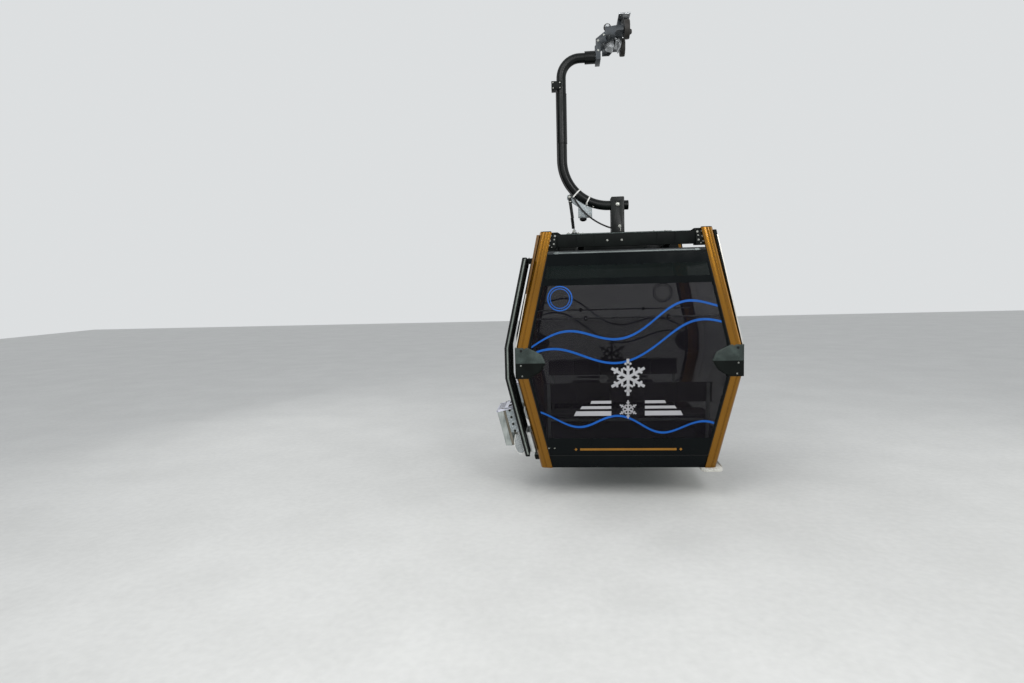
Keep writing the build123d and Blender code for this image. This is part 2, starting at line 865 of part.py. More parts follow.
# Roof shell, notched round the posts
def post_notch(height):
    """Plan of the angle that a post takes out of the roof, with room to spare outside."""
    x = half_width(height)
    y = half_length(height)
    return [
        (x + post_wall, y + post_wall),
        (x + post_wall, y - post_width),
        (x - post_wall, y - post_width),
        (x - post_wall, y - post_wall),
        (x - post_width, y - post_wall),
        (x - post_width, y + post_wall),
    ]


def roof_outline(height):
    """Plan of the roof between the posts' outer faces."""
    return rectangle(-half_width(height), half_width(height), -half_length(height), half_length(height))


with BuildPart() as notch:
    add(bent_bar(roof_edge_height - roof_thickness, roof_edge_height + 2 * roof_thickness, post_notch))
    mirror(about=Plane.YZ)
    mirror(about=Plane.XZ)
with BuildPart() as roof_shell:
    add(bent_bar(roof_edge_height, roof_edge_height + roof_thickness, roof_outline))
    add(notch.part, mode=Mode.SUBTRACT)
save(roof_shell.part, "roof_shell")


def ceiling_outline(height):
    """Plan of the ceiling inside the header and the glass."""
    edge_x = half_width(height) - header_thickness - liner_gap
    edge_y = half_length(height) - panel_thickness - liner_gap
    return rectangle(-edge_x, edge_x, -edge_y, edge_y)


with BuildPart() as ceiling:
    add(bent_bar(roof_edge_height - ceiling_thickness, roof_edge_height, ceiling_outline))
save(ceiling.part, "ceiling")

# End walls: one bent pane over a sill panel
for name, end in (("front", -1), ("rear", 1)):
    with BuildPart() as end_glass:
        add(end_wall(sill_height, roof_edge_height, end, glass_recess, glass_thickness, post_width))
    save(end_glass.part, f"end_glass_{name}")
with BuildPart() as end_sills:
    for end in (-1, 1):
        add(end_wall(shell_foot_height, sill_height, end, glass_recess, panel_thickness, post_width))
save(end_sills.part, "end_sills")


# Side walls
def minus_inside_posts(height):
    """Line of y at the front end between the posts."""
    return -inside_posts(height)


with BuildPart() as side_glass:
    add(
        side_wall(
            sill_height, roof_edge_height, 1, glass_recess, glass_thickness, minus_inside_posts, inside_posts
        )
    )
save(side_glass.part, "side_glass")

for name, side in (("side_sill", 1), ("door_sill", -1)):
    with BuildPart() as sill:
        add(
            side_wall(
                shell_foot_height,
                sill_height,
                side,
                glass_recess,
                panel_thickness,
                minus_inside_posts,
                inside_posts,
            )
        )
    save(sill.part, name)

with BuildPart() as door_header:
    add(side_wall(header_height, roof_edge_height, -1, 0, header_thickness, minus_inside_posts, inside_posts))
save(door_header.part, "door_header")


def along(y):
    """A line of y that stays the same at every height."""
    return lambda height: y


jamb_outer = door_half_opening + jamb_width
with BuildPart() as door_jambs:
    for end in (-1, 1):
        add(
            side_wall(
                sill_height,
                header_height,
                -1,
                0,
                panel_thickness,
                along(end * door_half_opening),
                along(end * jamb_outer),
            )
        )
save(door_jambs.part, "door_jambs")

with BuildPart() as door_side_glass:
    for near, far in ((along(jamb_outer), inside_posts), (minus_inside_posts, along(-jamb_outer))):
        add(side_wall(sill_height, header_height, -1, glass_recess, glass_thickness, near, far))
save(door_side_glass.part, "door_side_glass")


# Floor and its covering
def floor_outline(height):
    """Plan of the floor inside the sill panels."""
    edge_x = half_width(height) - glass_recess - panel_thickness
    edge_y = half_length(height) - glass_recess - panel_thickness
    return rectangle(-edge_x, edge_x, -edge_y, edge_y)


with BuildPart() as floor_pan:
    add(bent_bar(floor_height - floor_thickness, floor_height, floor_outline))
save(floor_pan.part, "floor_pan")

mat_x = half_width(floor_height) - glass_recess - panel_thickness - mat_margin
mat_y = half_length(floor_height) - glass_recess - panel_thickness - mat_margin
post_foot_y = half_length(floor_height) - bench_wall_gap - mat_notch_gap
with BuildPart() as floor_mat:
    with BuildSketch(Plane.XY.offset(up(floor_height))):
        Rectangle(2 * mat_x, 2 * mat_y)
        for end in (-1, 1):
            with Locations((0, end * (post_foot_y + mat_y) / 2)):
                with GridLocations(2 * bench_post_x, 0, 2, 1):
                    Rectangle(bench_tube + 2 * mat_notch_gap, mat_y - post_foot_y, mode=Mode.SUBTRACT)
    extrude(amount=mat_thickness)
save(floor_mat.part, "floor_mat")

# Beams that carry the floor
with BuildPart() as floor_beams:
    with BuildSketch(Plane.XY.offset(up(floor_beam_foot_height))):
        with GridLocations(2 * floor_beam_x, 0, 2, 1):
            Rectangle(floor_beam_width, 2 * floor_beam_half_length)
        with GridLocations(0, 2 * cross_beam_y, 1, 2):
            Rectangle(2 * cross_beam_half_length, floor_beam_width)
    extrude(amount=floor_height - floor_thickness - floor_beam_foot_height)
save(floor_beams.part, "floor_beams")

# Skid under the closed side, which runs along the station's guide
with BuildPart() as guide_skid:
    with BuildSketch(Plane.XY.offset(up(shell_foot_height))):
        with Locations(((skid_inner_x + skid_outer_x) / 2, 0)):
            RectangleRounded(skid_outer_x - skid_inner_x, 2 * skid_half_length, skid_round)
    extrude(amount=-skid_thickness)
save(guide_skid.part, "guide_skid")

# Benches: five seats and a back at each end, on frames that stand on the floor
seat_width = (2 * seat_half_length - (seat_count - 1) * seat_gap) / seat_count
seat_back_y = half_length(seat_height) - bench_wall_gap - bench_tube
seat_middle_y = seat_back_y - seat_depth / 2
with BuildPart() as seats:
    for end in (-1, 1):
        with BuildSketch(Plane.XY.offset(up(seat_height))):
            with Locations((0, end * seat_middle_y)):
                with GridLocations(seat_width + seat_gap, 0, seat_count, 1):
                    RectangleRounded(seat_width, seat_depth, seat_round)
        extrude(amount=seat_thickness)
save(seats.part, "seats")


def back_wall(low, high, end, x_low, x_high, outer, thickness):
    """Upright piece that follows the end wall inside the cabin."""

    def outline(height):
        face = end * (half_length(height) - outer)
        back = end * (half_length(height) - outer - thickness)
        return rectangle(x_low, x_high, face, back)

    return bent_bar(low, high, outline)


back_x = seat_half_length
with BuildPart() as seat_backs:
    for end in (-1, 1):
        add(back_wall(back_low_height, back_top_height, end, -back_x, back_x, bench_wall_gap, back_thickness))
save(seat_backs.part, "seat_backs")

tube_low_z = up(seat_height - bench_tube)
with BuildPart() as bench_frames:
    for end in (-1, 1):
        for x in (-bench_post_x, bench_post_x):
            low_x = x - bench_tube / 2
            high_x = x + bench_tube / 2
            outer = bench_wall_gap - bench_tube
            add(back_wall(sill_height, back_top_height, end, low_x, high_x, outer, bench_tube))
            with BuildSketch(Plane.XY.offset(tube_low_z)):
                with Locations((x, end * (seat_middle_y + bench_tube))):
                    Rectangle(bench_tube, seat_depth)
            extrude(amount=bench_tube)
        for y in (seat_middle_y - seat_depth / 2 + bench_tube, seat_back_y - bench_tube):
            with BuildSketch(Plane.XY.offset(tube_low_z)):
                with Locations((0, end * y)):
                    Rectangle(2 * bench_post_x, bench_tube)
            extrude(amount=bench_tube)
save(bench_frames.part, "bench_frames")

# Guard bars across the end windows
glass_inner = glass_recess + glass_thickness
bar_y = half_length(window_bar_height) - glass_inner - window_bar_gap
bar_x = half_width(window_bar_height) - post_wall - bar_end_gap
with BuildPart() as window_bars:
    for end in (-1, 1):
        with BuildSketch(Plane.YZ.offset(-bar_x)):
            with Locations((end * bar_y, up(window_bar_height))):
                Circle(window_bar_radius)
        extrude(amount=2 * bar_x)
        for x in (-window_bar_bracket, window_bar_bracket):
            low = window_bar_height - window_clip_width / 2
            high = window_bar_height + window_clip_width / 2
            low_x = x - window_clip_width / 2
            high_x = x + window_clip_width / 2
            add(back_wall(low, high, end, low_x, high_x, glass_inner, window_bar_gap))
save(window_bars.part, "window_bars")

# Door leaves, slid open to the rails' ends and standing out from the wall
door_rail_half_length = half_length(upper_rail_height + door_rail_height) - door_rail_end_gap
leaf_travel = door_rail_half_length - door_arm_end_gap - door_arm_width - upper_arm_places[-1]
leaf_face = -(leaf_gap + leaf_thickness)
pane_face = -(leaf_gap + leaf_thickness / 2)
for name, end in (("front", -1), ("rear", 1)):
    near = end * leaf_travel
    far = end * (leaf_travel + leaf_width)
    near_pane = end * (leaf_travel + stile_width)
    far_pane = end * (leaf_travel + leaf_width - stile_width)
    window_top = leaf_top_height - stile_width
    with BuildPart() as leaf_frame:
        add(
            side_wall(
                leaf_foot_height, leaf_top_height, -1, leaf_face, leaf_thickness, along(near), along(far)
            )
        )
        add(
            side_wall(
                kick_panel_top,
                window_top,
                -1,
                2 * leaf_face,
                -2 * leaf_face,
                along(near_pane),
                along(far_pane),
            ),
            mode=Mode.SUBTRACT,
        )
    save(leaf_frame.part, f"leaf_frame_{name}")
    with BuildPart() as leaf_glass:
        add(
            side_wall(
                kick_panel_top, window_top, -1, pane_face, glass_thickness, along(near_pane), along(far_pane)
            )
        )
    save(leaf_glass.part, f"leaf_glass_{name}")

leaf_middle = leaf_travel + leaf_width / 2
inner_face = -leaf_gap


def rack_depth(height):
    """Depth of the rack's side plates, which narrow towards their foot."""
    share = (height - rack_foot_height) / (comb_height - rack_foot_height)
    return rack_foot_depth + (comb_depth - rack_foot_depth) * share


def rack_side(end, y_low, y_high, lip_depth):
    """Upright of a rack between two places along the leaf: a lip, or with no lip depth a full plate."""

    def outline(height):
        leaf_x = -(half_width(height) - leaf_face)
        depth = rack_depth(height)
        inner = depth - lip_depth if lip_depth else 0
        middle = end * leaf_middle
        return rectangle(leaf_x - depth, leaf_x - inner, middle + y_low, middle + y_high)

    return bent_bar(rack_foot_height, comb_height, outline)


with BuildPart() as ski_racks:
    for end in (-1, 1):
        low_y = along(end * leaf_middle - comb_half_length)
        high_y = along(end * leaf_middle + comb_half_length)
        comb_top = comb_height + comb_thickness
        add(side_wall(comb_height, comb_top, -1, leaf_face - comb_depth, comb_depth, low_y, high_y))
        comb_edge = -(half_width(comb_height) - leaf_face + comb_depth)
        with BuildSketch(Plane.XY.offset(up(comb_height - comb_thickness))):
            with Locations((comb_edge, end * leaf_middle)):
                with GridLocations(0, comb_slot_pitch, 1, comb_slot_count):
                    SlotOverall(2 * comb_slot_length, comb_slot_width)
        extrude(amount=3 * comb_thickness, mode=Mode.SUBTRACT)
        for width, lip_depth in ((rack_plate, 0), (rack_lip, rack_plate)):
            add(rack_side(end, -comb_half_length, width - comb_half_length, lip_depth))
            add(rack_side(end, comb_half_length - width, comb_half_length, lip_depth))
save(ski_racks.part, "ski_racks")

with BuildPart() as ski_bins:
    for end in (-1, 1):
        low_y = end * leaf_middle - bin_half_length
        high_y = end * leaf_middle + bin_half_length
        for face, depth in ((leaf_face - bin_depth, bin_depth), (inner_face, inner_bin_depth)):
            add(side_wall(bin_foot_height, bin_top_height, -1, face, depth, along(low_y), along(high_y)))
            add(
                side_wall(
                    bin_foot_height + bin_wall,
                    bin_top_height + bin_wall,
                    -1,
                    face + bin_wall,
                    depth - 2 * bin_wall,
                    along(low_y + bin_wall),
                    along(high_y - bin_wall),
                ),
                mode=Mode.SUBTRACT,
            )
save(ski_bins.part, "ski_bins")

# Door rails on the wall, and the arms that carry the leaves on them
for name, height in (("upper", upper_rail_height), ("lower", lower_rail_height)):
    with BuildPart() as door_rail:
        add(
            side_wall(
                height,
                height + door_rail_height,
                -1,
                -door_rail_depth,
                door_rail_depth,
                along(-door_rail_half_length),
                along(door_rail_half_length),
            )
        )
    save(door_rail.part, f"door_rail_{name}")

arm_reach = leaf_gap - door_rail_depth
with BuildPart() as door_arms:
    for end in (-1, 1):
        for low, high, places in (
            (upper_rail_height, upper_rail_height + door_rail_height, upper_arm_places),
            (lower_rail_height, leaf_foot_height + door_rail_height, lower_arm_places),
        ):
            for place in places:
                start = end * (leaf_travel + place)
                stop = end * (leaf_travel + place + door_arm_width)
                add(side_wall(low, high, -1, inner_face, arm_reach, along(start), along(stop)))
save(door_arms.part, "door_arms")
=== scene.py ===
"""Looks of a gondola cabin: finishes, panes, trim, benches, racks and grip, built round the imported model."""

import json
from itertools import product
from math import cos, pi, radians, sin, tau

import bmesh
import bpy
from bpy.props import FloatProperty, FloatVectorProperty, IntProperty, PointerProperty
from mathutils import Matrix, Vector
from mathutils.geometry import interpolate_bezier


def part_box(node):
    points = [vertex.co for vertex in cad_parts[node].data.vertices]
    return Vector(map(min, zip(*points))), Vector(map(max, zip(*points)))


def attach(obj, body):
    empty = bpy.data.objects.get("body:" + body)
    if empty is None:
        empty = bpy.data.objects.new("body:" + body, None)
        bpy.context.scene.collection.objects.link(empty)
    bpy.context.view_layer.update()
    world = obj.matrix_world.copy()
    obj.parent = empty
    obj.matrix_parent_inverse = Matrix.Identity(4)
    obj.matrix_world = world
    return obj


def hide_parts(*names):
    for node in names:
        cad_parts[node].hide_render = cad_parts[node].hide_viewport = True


bl_info = {
    "name": "Gondola Cabin",
    "version": (1, 0, 0),
    "blender": (4, 5, 0),
    "location": "View3D > Sidebar > Cabin",
    "description": "Builds the panes, trim, benches, racks and grip of a gondola cabin",
    "category": "Object",
}

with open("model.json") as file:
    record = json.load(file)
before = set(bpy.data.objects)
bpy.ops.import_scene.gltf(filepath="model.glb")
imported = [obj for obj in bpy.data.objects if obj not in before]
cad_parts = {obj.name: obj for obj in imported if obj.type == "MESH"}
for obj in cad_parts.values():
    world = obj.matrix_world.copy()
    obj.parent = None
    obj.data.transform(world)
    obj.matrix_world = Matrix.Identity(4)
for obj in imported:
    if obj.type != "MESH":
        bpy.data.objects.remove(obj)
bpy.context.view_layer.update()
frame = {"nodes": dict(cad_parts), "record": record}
MM = 0.001

# The cabin's outline, read from a corner post: its foot, the bends under and over the knee cap, and its top
POST_POINTS = [vertex.co for vertex in frame["nodes"]["post_rear_far"].data.vertices]
LEVELS = sorted({round(point.z, 4) for point in POST_POINTS})
REACH = [[max(point[axis] for point in POST_POINTS if abs(point.z - z) < MM) for z in LEVELS] for axis in (0, 1)]
POST_DROP = 30 * MM
POST_WIDTH = 112 * MM
POST_WALL = 38 * MM
FOOT = LEVELS[0] + POST_DROP
# Each wall's axis, and the way it faces
WALLS = {"front": (1, -1), "rear": (1, 1), "door": (0, -1), "far": (0, 1)}
ENDS = (("front", -1), ("rear", 1))
SIDES = (("door", -1), ("far", 1))
# Half height of the soft bend that a pane has at each bend of the posts, and the steps that draw half of it
SOFT_BEND = 90 * MM
BEND_STEPS = 4
# Outer and inner faces of the open leaves, outside the wall, and the leaves' middles along it
LEAF_FACE = -116 * MM
LEAF_BACK = -66 * MM
LEAF_MIDDLES = (-0.77, 0.77)
# Half width over a ski rack's side plates, and half lengths of its comb and pocket, and of the bin behind
RACK_HALF = 0.19
COMB_HALF = 0.2
BIN_HALF = 0.15
# The hanger: how far its tube's middle is inside its box, its low bend's radius, and the height of its low end
TUBE_INSET = 55 * MM
BEND_RADIUS = 0.5
TUBE_LOW = 2.62
# Seats on each bench
SEATS = 5
# Where most of a noise texture's values lie
NOISE_LOW, NOISE_HIGH = 0.35, 0.65


def up(height):
    """Z of a height above the foot of the side walls, in metres."""
    return FOOT + height


def wall_reach(z, axis, bend=SOFT_BEND):
    """How far out a wall is at z, with the soft bends that its panes have at the knee."""
    reach = REACH[axis]
    slopes = [(reach[i + 1] - reach[i]) / (LEVELS[i + 1] - LEVELS[i]) for i in range(len(LEVELS) - 1)]
    bends = LEVELS[1:-1]
    stretch = sum(z > level for level in bends)
    out = reach[stretch] + slopes[stretch] * (z - LEVELS[stretch])
    for index, level in enumerate(bends):
        inside = bend - abs(z - level)
        if inside > 0:
            out += (slopes[index + 1] - slopes[index]) * inside**2 / (4 * bend)
    return out


# Shapes


def cuboid(bm, low, high):
    """Adds a block between two corners."""
    verts = bmesh.ops.create_cube(bm, size=1)["verts"]
    bmesh.ops.scale(bm, vec=[b - a for a, b in zip(low, high)], verts=verts)
    bmesh.ops.translate(bm, vec=[(a + b) / 2 for a, b in zip(low, high)], verts=verts)
    return verts


def pointing(at, way, forward="Z"):
    """Placement at a point, with one of its axes along a direction."""
    return Matrix.Translation(Vector(at)) @ Vector(way).to_track_quat(forward, "Y").to_matrix().to_4x4()


def faces_of(verts):
    """Faces that meet at any of these corners."""
    return list({face for vert in verts for face in vert.link_faces})


def extruded(bm, faces):
    """Extrudes faces, and gives their new corners, which are still in place."""
    made = bmesh.ops.extrude_face_region(bm, geom=faces)["geom"]
    return [item for item in made if isinstance(item, bmesh.types.BMVert)]


def bar(bm, start, end, radius, sides=20, end_radius=None):
    """Adds a round bar or a cone between two points."""
    start, end = Vector(start), Vector(end)
    bmesh.ops.create_cone(
        bm,
        cap_ends=True,
        segments=sides,
        radius1=radius,
        radius2=radius if end_radius is None else end_radius,
        depth=(end - start).length,
        matrix=pointing((start + end) / 2, end - start),
    )


def hex_bolt(bm, at, normal, radius):
    """Adds a hexagon head on its washer, with the bolt's end on it."""
    at, normal = Vector(at), Vector(normal).normalized()
    for start, end, width, sides in ((-0.1, 0.25, 1.45, 20), (0.25, 1.0, 1.0, 6), (1.0, 1.3, 0.5, 12)):
        bar(bm, at + normal * radius * start, at + normal * radius * end, radius * width, sides)


def bolt_grid(bm, xs, ys, zs, normal, radius):
    """Adds a bolt at every crossing of these places across, along and up."""
    for place in product(xs, ys, zs):
        hex_bolt(bm, place, normal, radius)


def turned(bm, profile, at, axis, sides=48):
    """Spins a profile of (distance along, radius) pairs round an axis through a point."""
    before = set(bm.verts)
    verts = [bm.verts.new((radius, 0, along)) for along, radius in profile]
    edges = [bm.edges.new(pair) for pair in zip(verts, verts[1:])]
    bmesh.ops.spin(bm, geom=verts + edges, cent=(0, 0, 0), axis=(0, 0, 1), angle=tau, steps=sides, use_merge=True)
    made = [vert for vert in bm.verts if vert not in before]
    bmesh.ops.remove_doubles(bm, verts=made, dist=1e-6)
    made = [vert for vert in bm.verts if vert not in before]
    bmesh.ops.transform(bm, matrix=pointing(at, axis), verts=made)
    bmesh.ops.recalc_face_normals(bm, faces=faces_of(made))
    return made


def collar(bm, at, axis, radius, width, length, sides=48):
    """Adds a ring round an axis: its outer radius, how wide it is and how long."""
    profile = [(0, radius - width), (0, radius), (length, radius), (length, radius - width), (0, radius - width)]
    return turned(bm, profile, at, axis, sides)


def prism(bm, points, direction):
    """Adds a plate with these corners, thickened along a direction."""
    face = bm.faces.new([bm.verts.new(point) for point in points])
    verts = extruded(bm, [face])
    bmesh.ops.translate(bm, vec=direction, verts=verts)
    bmesh.ops.recalc_face_normals(bm, faces=[*faces_of(verts), face])


def pad(bm, low, high, crown, facing=2, steps=8):
    """Adds a slab whose face, towards the high end of one axis, is raised by crown(u, v), with u and v from -1 to 1."""
    across, along = [axis for axis in (0, 1, 2) if axis != facing]
    grid = bmesh.ops.create_grid(bm, x_segments=steps, y_segments=steps, size=1)["verts"]
    raised = set(extruded(bm, faces_of(grid)))
    for vert in set(grid) | raised:
        u, v = vert.co.x, vert.co.y
        point = [0, 0, 0]
        point[across] = (low[across] + high[across] + u * (high[across] - low[across])) / 2
        point[along] = (low[along] + high[along] + v * (high[along] - low[along])) / 2
        point[facing] = high[facing] + crown(u, v) if vert in raised else low[facing]
        vert.co = point
    bmesh.ops.recalc_face_normals(bm, faces=faces_of(raised))


def film(bm, place, steps=24, thickness=0.5 * MM, depth=8 * MM):
    """Adds a thin film on a pane: place(u, v) gives how far across and how high, with u and v from 0 to 1."""
    grid = bmesh.ops.create_grid(bm, x_segments=steps, y_segments=1, size=0.5)["verts"]
    for vert in grid:
        across, height = place(vert.co.x + 0.5, vert.co.y + 0.5)
        vert.co = (across, depth, up(height))
    bmesh.ops.translate(bm, vec=(0, -thickness, 0), verts=extruded(bm, faces_of(grid)))


def swept(bm, path, radius, sides=14):
    """Adds a round tube along a path, with closed ends."""
    points = [Vector(point) for point in path]
    loops = []
    for index, point in enumerate(points):
        ahead = points[min(index + 1, len(points) - 1)] - points[max(index - 1, 0)]
        placement = pointing(point, ahead)
        loops.append(bmesh.ops.create_circle(bm, segments=sides, radius=radius, matrix=placement)["verts"])
    rings = [list({edge for vert in loop for edge in vert.link_edges}) for loop in loops]
    for first, second in zip(rings, rings[1:]):
        bmesh.ops.bridge_loops(bm, edges=first + second)
    for end in (loops[0], loops[-1]):
        bm.faces.new(end)
    bmesh.ops.recalc_face_normals(bm, faces=bm.faces)


def arc(centre, radius, first, last, steps):
    """Points on an upright arc, its angles in degrees from +X."""
    x, y, z = centre
    angles = [radians(first + (last - first) * step / steps) for step in range(steps + 1)]
    return [(x + radius * cos(angle), y, z + radius * sin(angle)) for angle in angles]


def round_edges(bm, width, segments=2, sharper=30, pick=None):
    """Rounds the edges where faces turn by more than some degrees."""
    sharp = [edge for edge in bm.edges if len(edge.link_faces) == 2 and edge.calc_face_angle(0) > radians(sharper)]
    if pick:
        sharp = [edge for edge in sharp if pick(edge)]
    bmesh.ops.bevel(
        bm,
        geom=sharp,
        offset=width,
        offset_type="OFFSET",
        segments=segments,
        profile=0.5,
        affect="EDGES",
        clamp_overlap=True,
        material=-1,
    )


def cut(bm, z=None, x=None):
    """Divides everything at a height, or at a place across."""
    point, normal = ((0, 0, z), (0, 0, 1)) if x is None else ((x, 0, 0), (1, 0, 0))
    bmesh.ops.bisect_plane(bm, geom=bm.verts[:] + bm.edges[:] + bm.faces[:], plane_co=point, plane_no=normal)


def fold(bm, wall, corner=0, margin=None, bend=SOFT_BEND):
    """Moves flat work onto a wall: x across, y inwards from the posts' faces, and z up.

    With a corner, x counts in from that corner's side. With a margin, -1 to 1 spans the wall less the margin at each
    side. With no bend, the wall has sharp bends.
    """
    axis, side = WALLS[wall]
    for level in LEVELS[1:-1]:
        for step in range(-BEND_STEPS, BEND_STEPS + 1) if bend else (0,):
            cut(bm, level + bend * step / BEND_STEPS)
    for vert in bm.verts:
        across, inwards, z = vert.co
        out = side * (wall_reach(z, axis, bend or MM) - inwards)
        span = wall_reach(z, 1 - axis, bend or MM)
        if corner:
            across = corner * (span - across)
        elif margin is not None:
            across *= span - margin
        vert.co = (out, across, z) if axis == 0 else (across, out, z)
    bmesh.ops.recalc_face_normals(bm, faces=bm.faces)


def gather(bm, extra):
    """Moves one shape's faces into another."""
    mesh = bpy.data.meshes.new("extra")
    extra.to_mesh(mesh)
    extra.free()
    bm.from_mesh(mesh)
    bpy.data.meshes.remove(mesh)


def strip(bm, wall, low, high, corner=0, margin=None, bend=SOFT_BEND, rounding=0):
    """Adds a block folded onto a wall, with its edges rounded."""
    block = bmesh.new()
    cuboid(block, low, high)
    fold(block, wall, corner, margin, bend)
    if rounding:
        round_edges(block, rounding, 1)
    gather(bm, block)


def merged(node):
    """Copy of a node's mesh with its triangles joined into flat faces."""
    bm = bmesh.new()
    bm.from_mesh(frame["nodes"][node].data)
    bmesh.ops.remove_doubles(bm, verts=bm.verts, dist=1e-5)
    bmesh.ops.dissolve_limit(bm, angle_limit=radians(1), verts=bm.verts, edges=bm.edges)
    return bm


def piece(name, bm, finishes, body="cabin", stands_for=(), smooth=35):
    """Makes the piece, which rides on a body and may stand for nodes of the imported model."""
    mesh = bpy.data.meshes.new(name)
    bm.to_mesh(mesh)
    bm.free()
    for attribute in ("custom_normal", "sharp_edge", "sharp_face"):
        if attribute in mesh.attributes:
            mesh.attributes.remove(mesh.attributes[attribute])
    mesh.shade_smooth()
    mesh.set_sharp_from_angle(angle=radians(smooth))
    for material in [finishes] if isinstance(finishes, str) else finishes:
        mesh.materials.append(bpy.data.materials[material])
    made = bpy.data.objects.new(name, mesh)
    bpy.context.scene.collection.objects.link(made)
    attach(made, body)
    if stands_for:
        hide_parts(*stands_for)


def softened(name, node, material, width, segments=2, sharper=35, body="cabin"):
    """Makes the piece that stands for a node, with its edges rounded as the real one's are."""
    bm = merged(node)
    round_edges(bm, width, segments, sharper)
    piece(name, bm, material, body, (node,))


# Finishes


def hex_colour(code):
    """Linear RGBA of an sRGB hex value."""
    channels = [int(code[start : start + 2], 16) / 255 for start in (0, 2, 4)]
    linear = [c / 12.92 if c <= 0.04045 else ((c + 0.055) / 1.055) ** 2.4 for c in channels]
    return (*linear, 1.0)


def shades(colour, *strengths):
    """Darker and lighter tones of a colour."""
    return [(*(channel * strength for channel in colour[:3]), 1.0) for strength in strengths]


def add_node(tree, kind, inputs=None, **settings):
    """Adds a node with its settings, and fills or links its inputs."""
    node = tree.nodes.new(kind)
    for name, value in settings.items():
        setattr(node, name, value)
    for name, value in (inputs or {}).items():
        if isinstance(value, bpy.types.NodeSocket):
            tree.links.new(value, node.inputs[name])
        else:
            node.inputs[name].default_value = value
    return node


def finish(
    name, tones, clouds, grain, share=0.4, stretch=(1, 1, 1), cells=None, gloss=(0.4, 0.5), relief=0.2, **constants
):
    """Makes a finish from its tones, dark to light, which run over broad clouds mixed with a finer grain.

    Clouds and grain are sizes in millimetres, share is how much the grain tints, stretch draws the grain out where it
    is under 1, and cells makes it a lattice from 0, even, to 1, at random. Gloss is the range of the roughness, which
    follows the clouds, and relief is how far the grain stands up, in millimetres.
    """
    material = bpy.data.materials.new(name)
    material.use_nodes = True
    tree = material.node_tree
    shader = tree.nodes["Principled BSDF"]
    for socket, value in constants.items():
        label = {"specular": "Specular IOR Level", "coat": "Coat Weight"}.get(socket, socket.title())
        shader.inputs[label].default_value = value
    place = add_node(tree, "ShaderNodeTexCoord").outputs["Object"]
    cloud = add_node(tree, "ShaderNodeTexNoise", {"Vector": place, "Scale": 1000 / clouds, "Detail": 4}).outputs["Fac"]
    drawn = add_node(tree, "ShaderNodeMapping", {"Vector": place, "Scale": stretch}).outputs["Vector"]
    if cells is None:
        noise = {"Vector": drawn, "Scale": 1000 / grain, "Detail": 2}
        fine = add_node(tree, "ShaderNodeTexNoise", noise).outputs["Fac"]
    else:
        lattice = {"Vector": drawn, "Scale": 1000 / grain, "Randomness": cells}
        near = add_node(tree, "ShaderNodeTexVoronoi", lattice).outputs["Distance"]
        crown = {"Value": near, "From Min": 0.2, "From Max": 0.5, "To Min": 0.75, "To Max": 0.25}
        fine = add_node(tree, "ShaderNodeMapRange", crown).outputs["Result"]
    mixed = add_node(tree, "ShaderNodeMix", {"Factor": share, "A": cloud, "B": fine}).outputs["Result"]
    ramp = add_node(tree, "ShaderNodeValToRGB", {"Fac": mixed})
    stops = ramp.color_ramp.elements
    while len(stops) < len(tones):
        stops.new(0.5)
    for index, tone in enumerate(tones):
        stops[index].position = NOISE_LOW + (NOISE_HIGH - NOISE_LOW) * index / (len(tones) - 1)
        stops[index].color = hex_colour(tone) if isinstance(tone, str) else tone
    tree.links.new(ramp.outputs["Color"], shader.inputs["Base Color"])
    limits = {"Value": cloud, "From Min": NOISE_LOW, "From Max": NOISE_HIGH, "To Min": gloss[0], "To Max": gloss[1]}
    tree.links.new(add_node(tree, "ShaderNodeMapRange", limits).outputs["Result"], shader.inputs["Roughness"])
    bump = add_node(tree, "ShaderNodeBump", {"Height": fine, "Distance": relief * MM, "Strength": 0.5})
    tree.links.new(bump.outputs["Normal"], shader.inputs["Normal"])
    return material


# How the grain of a finish is drawn out: up the piece, along the cabin, or round a wheel
UPRIGHT = (1, 1, 0.01)
LENGTHWISE = (1, 0.03, 1)
ROUND_ABOUT = (0.05, 1, 1)


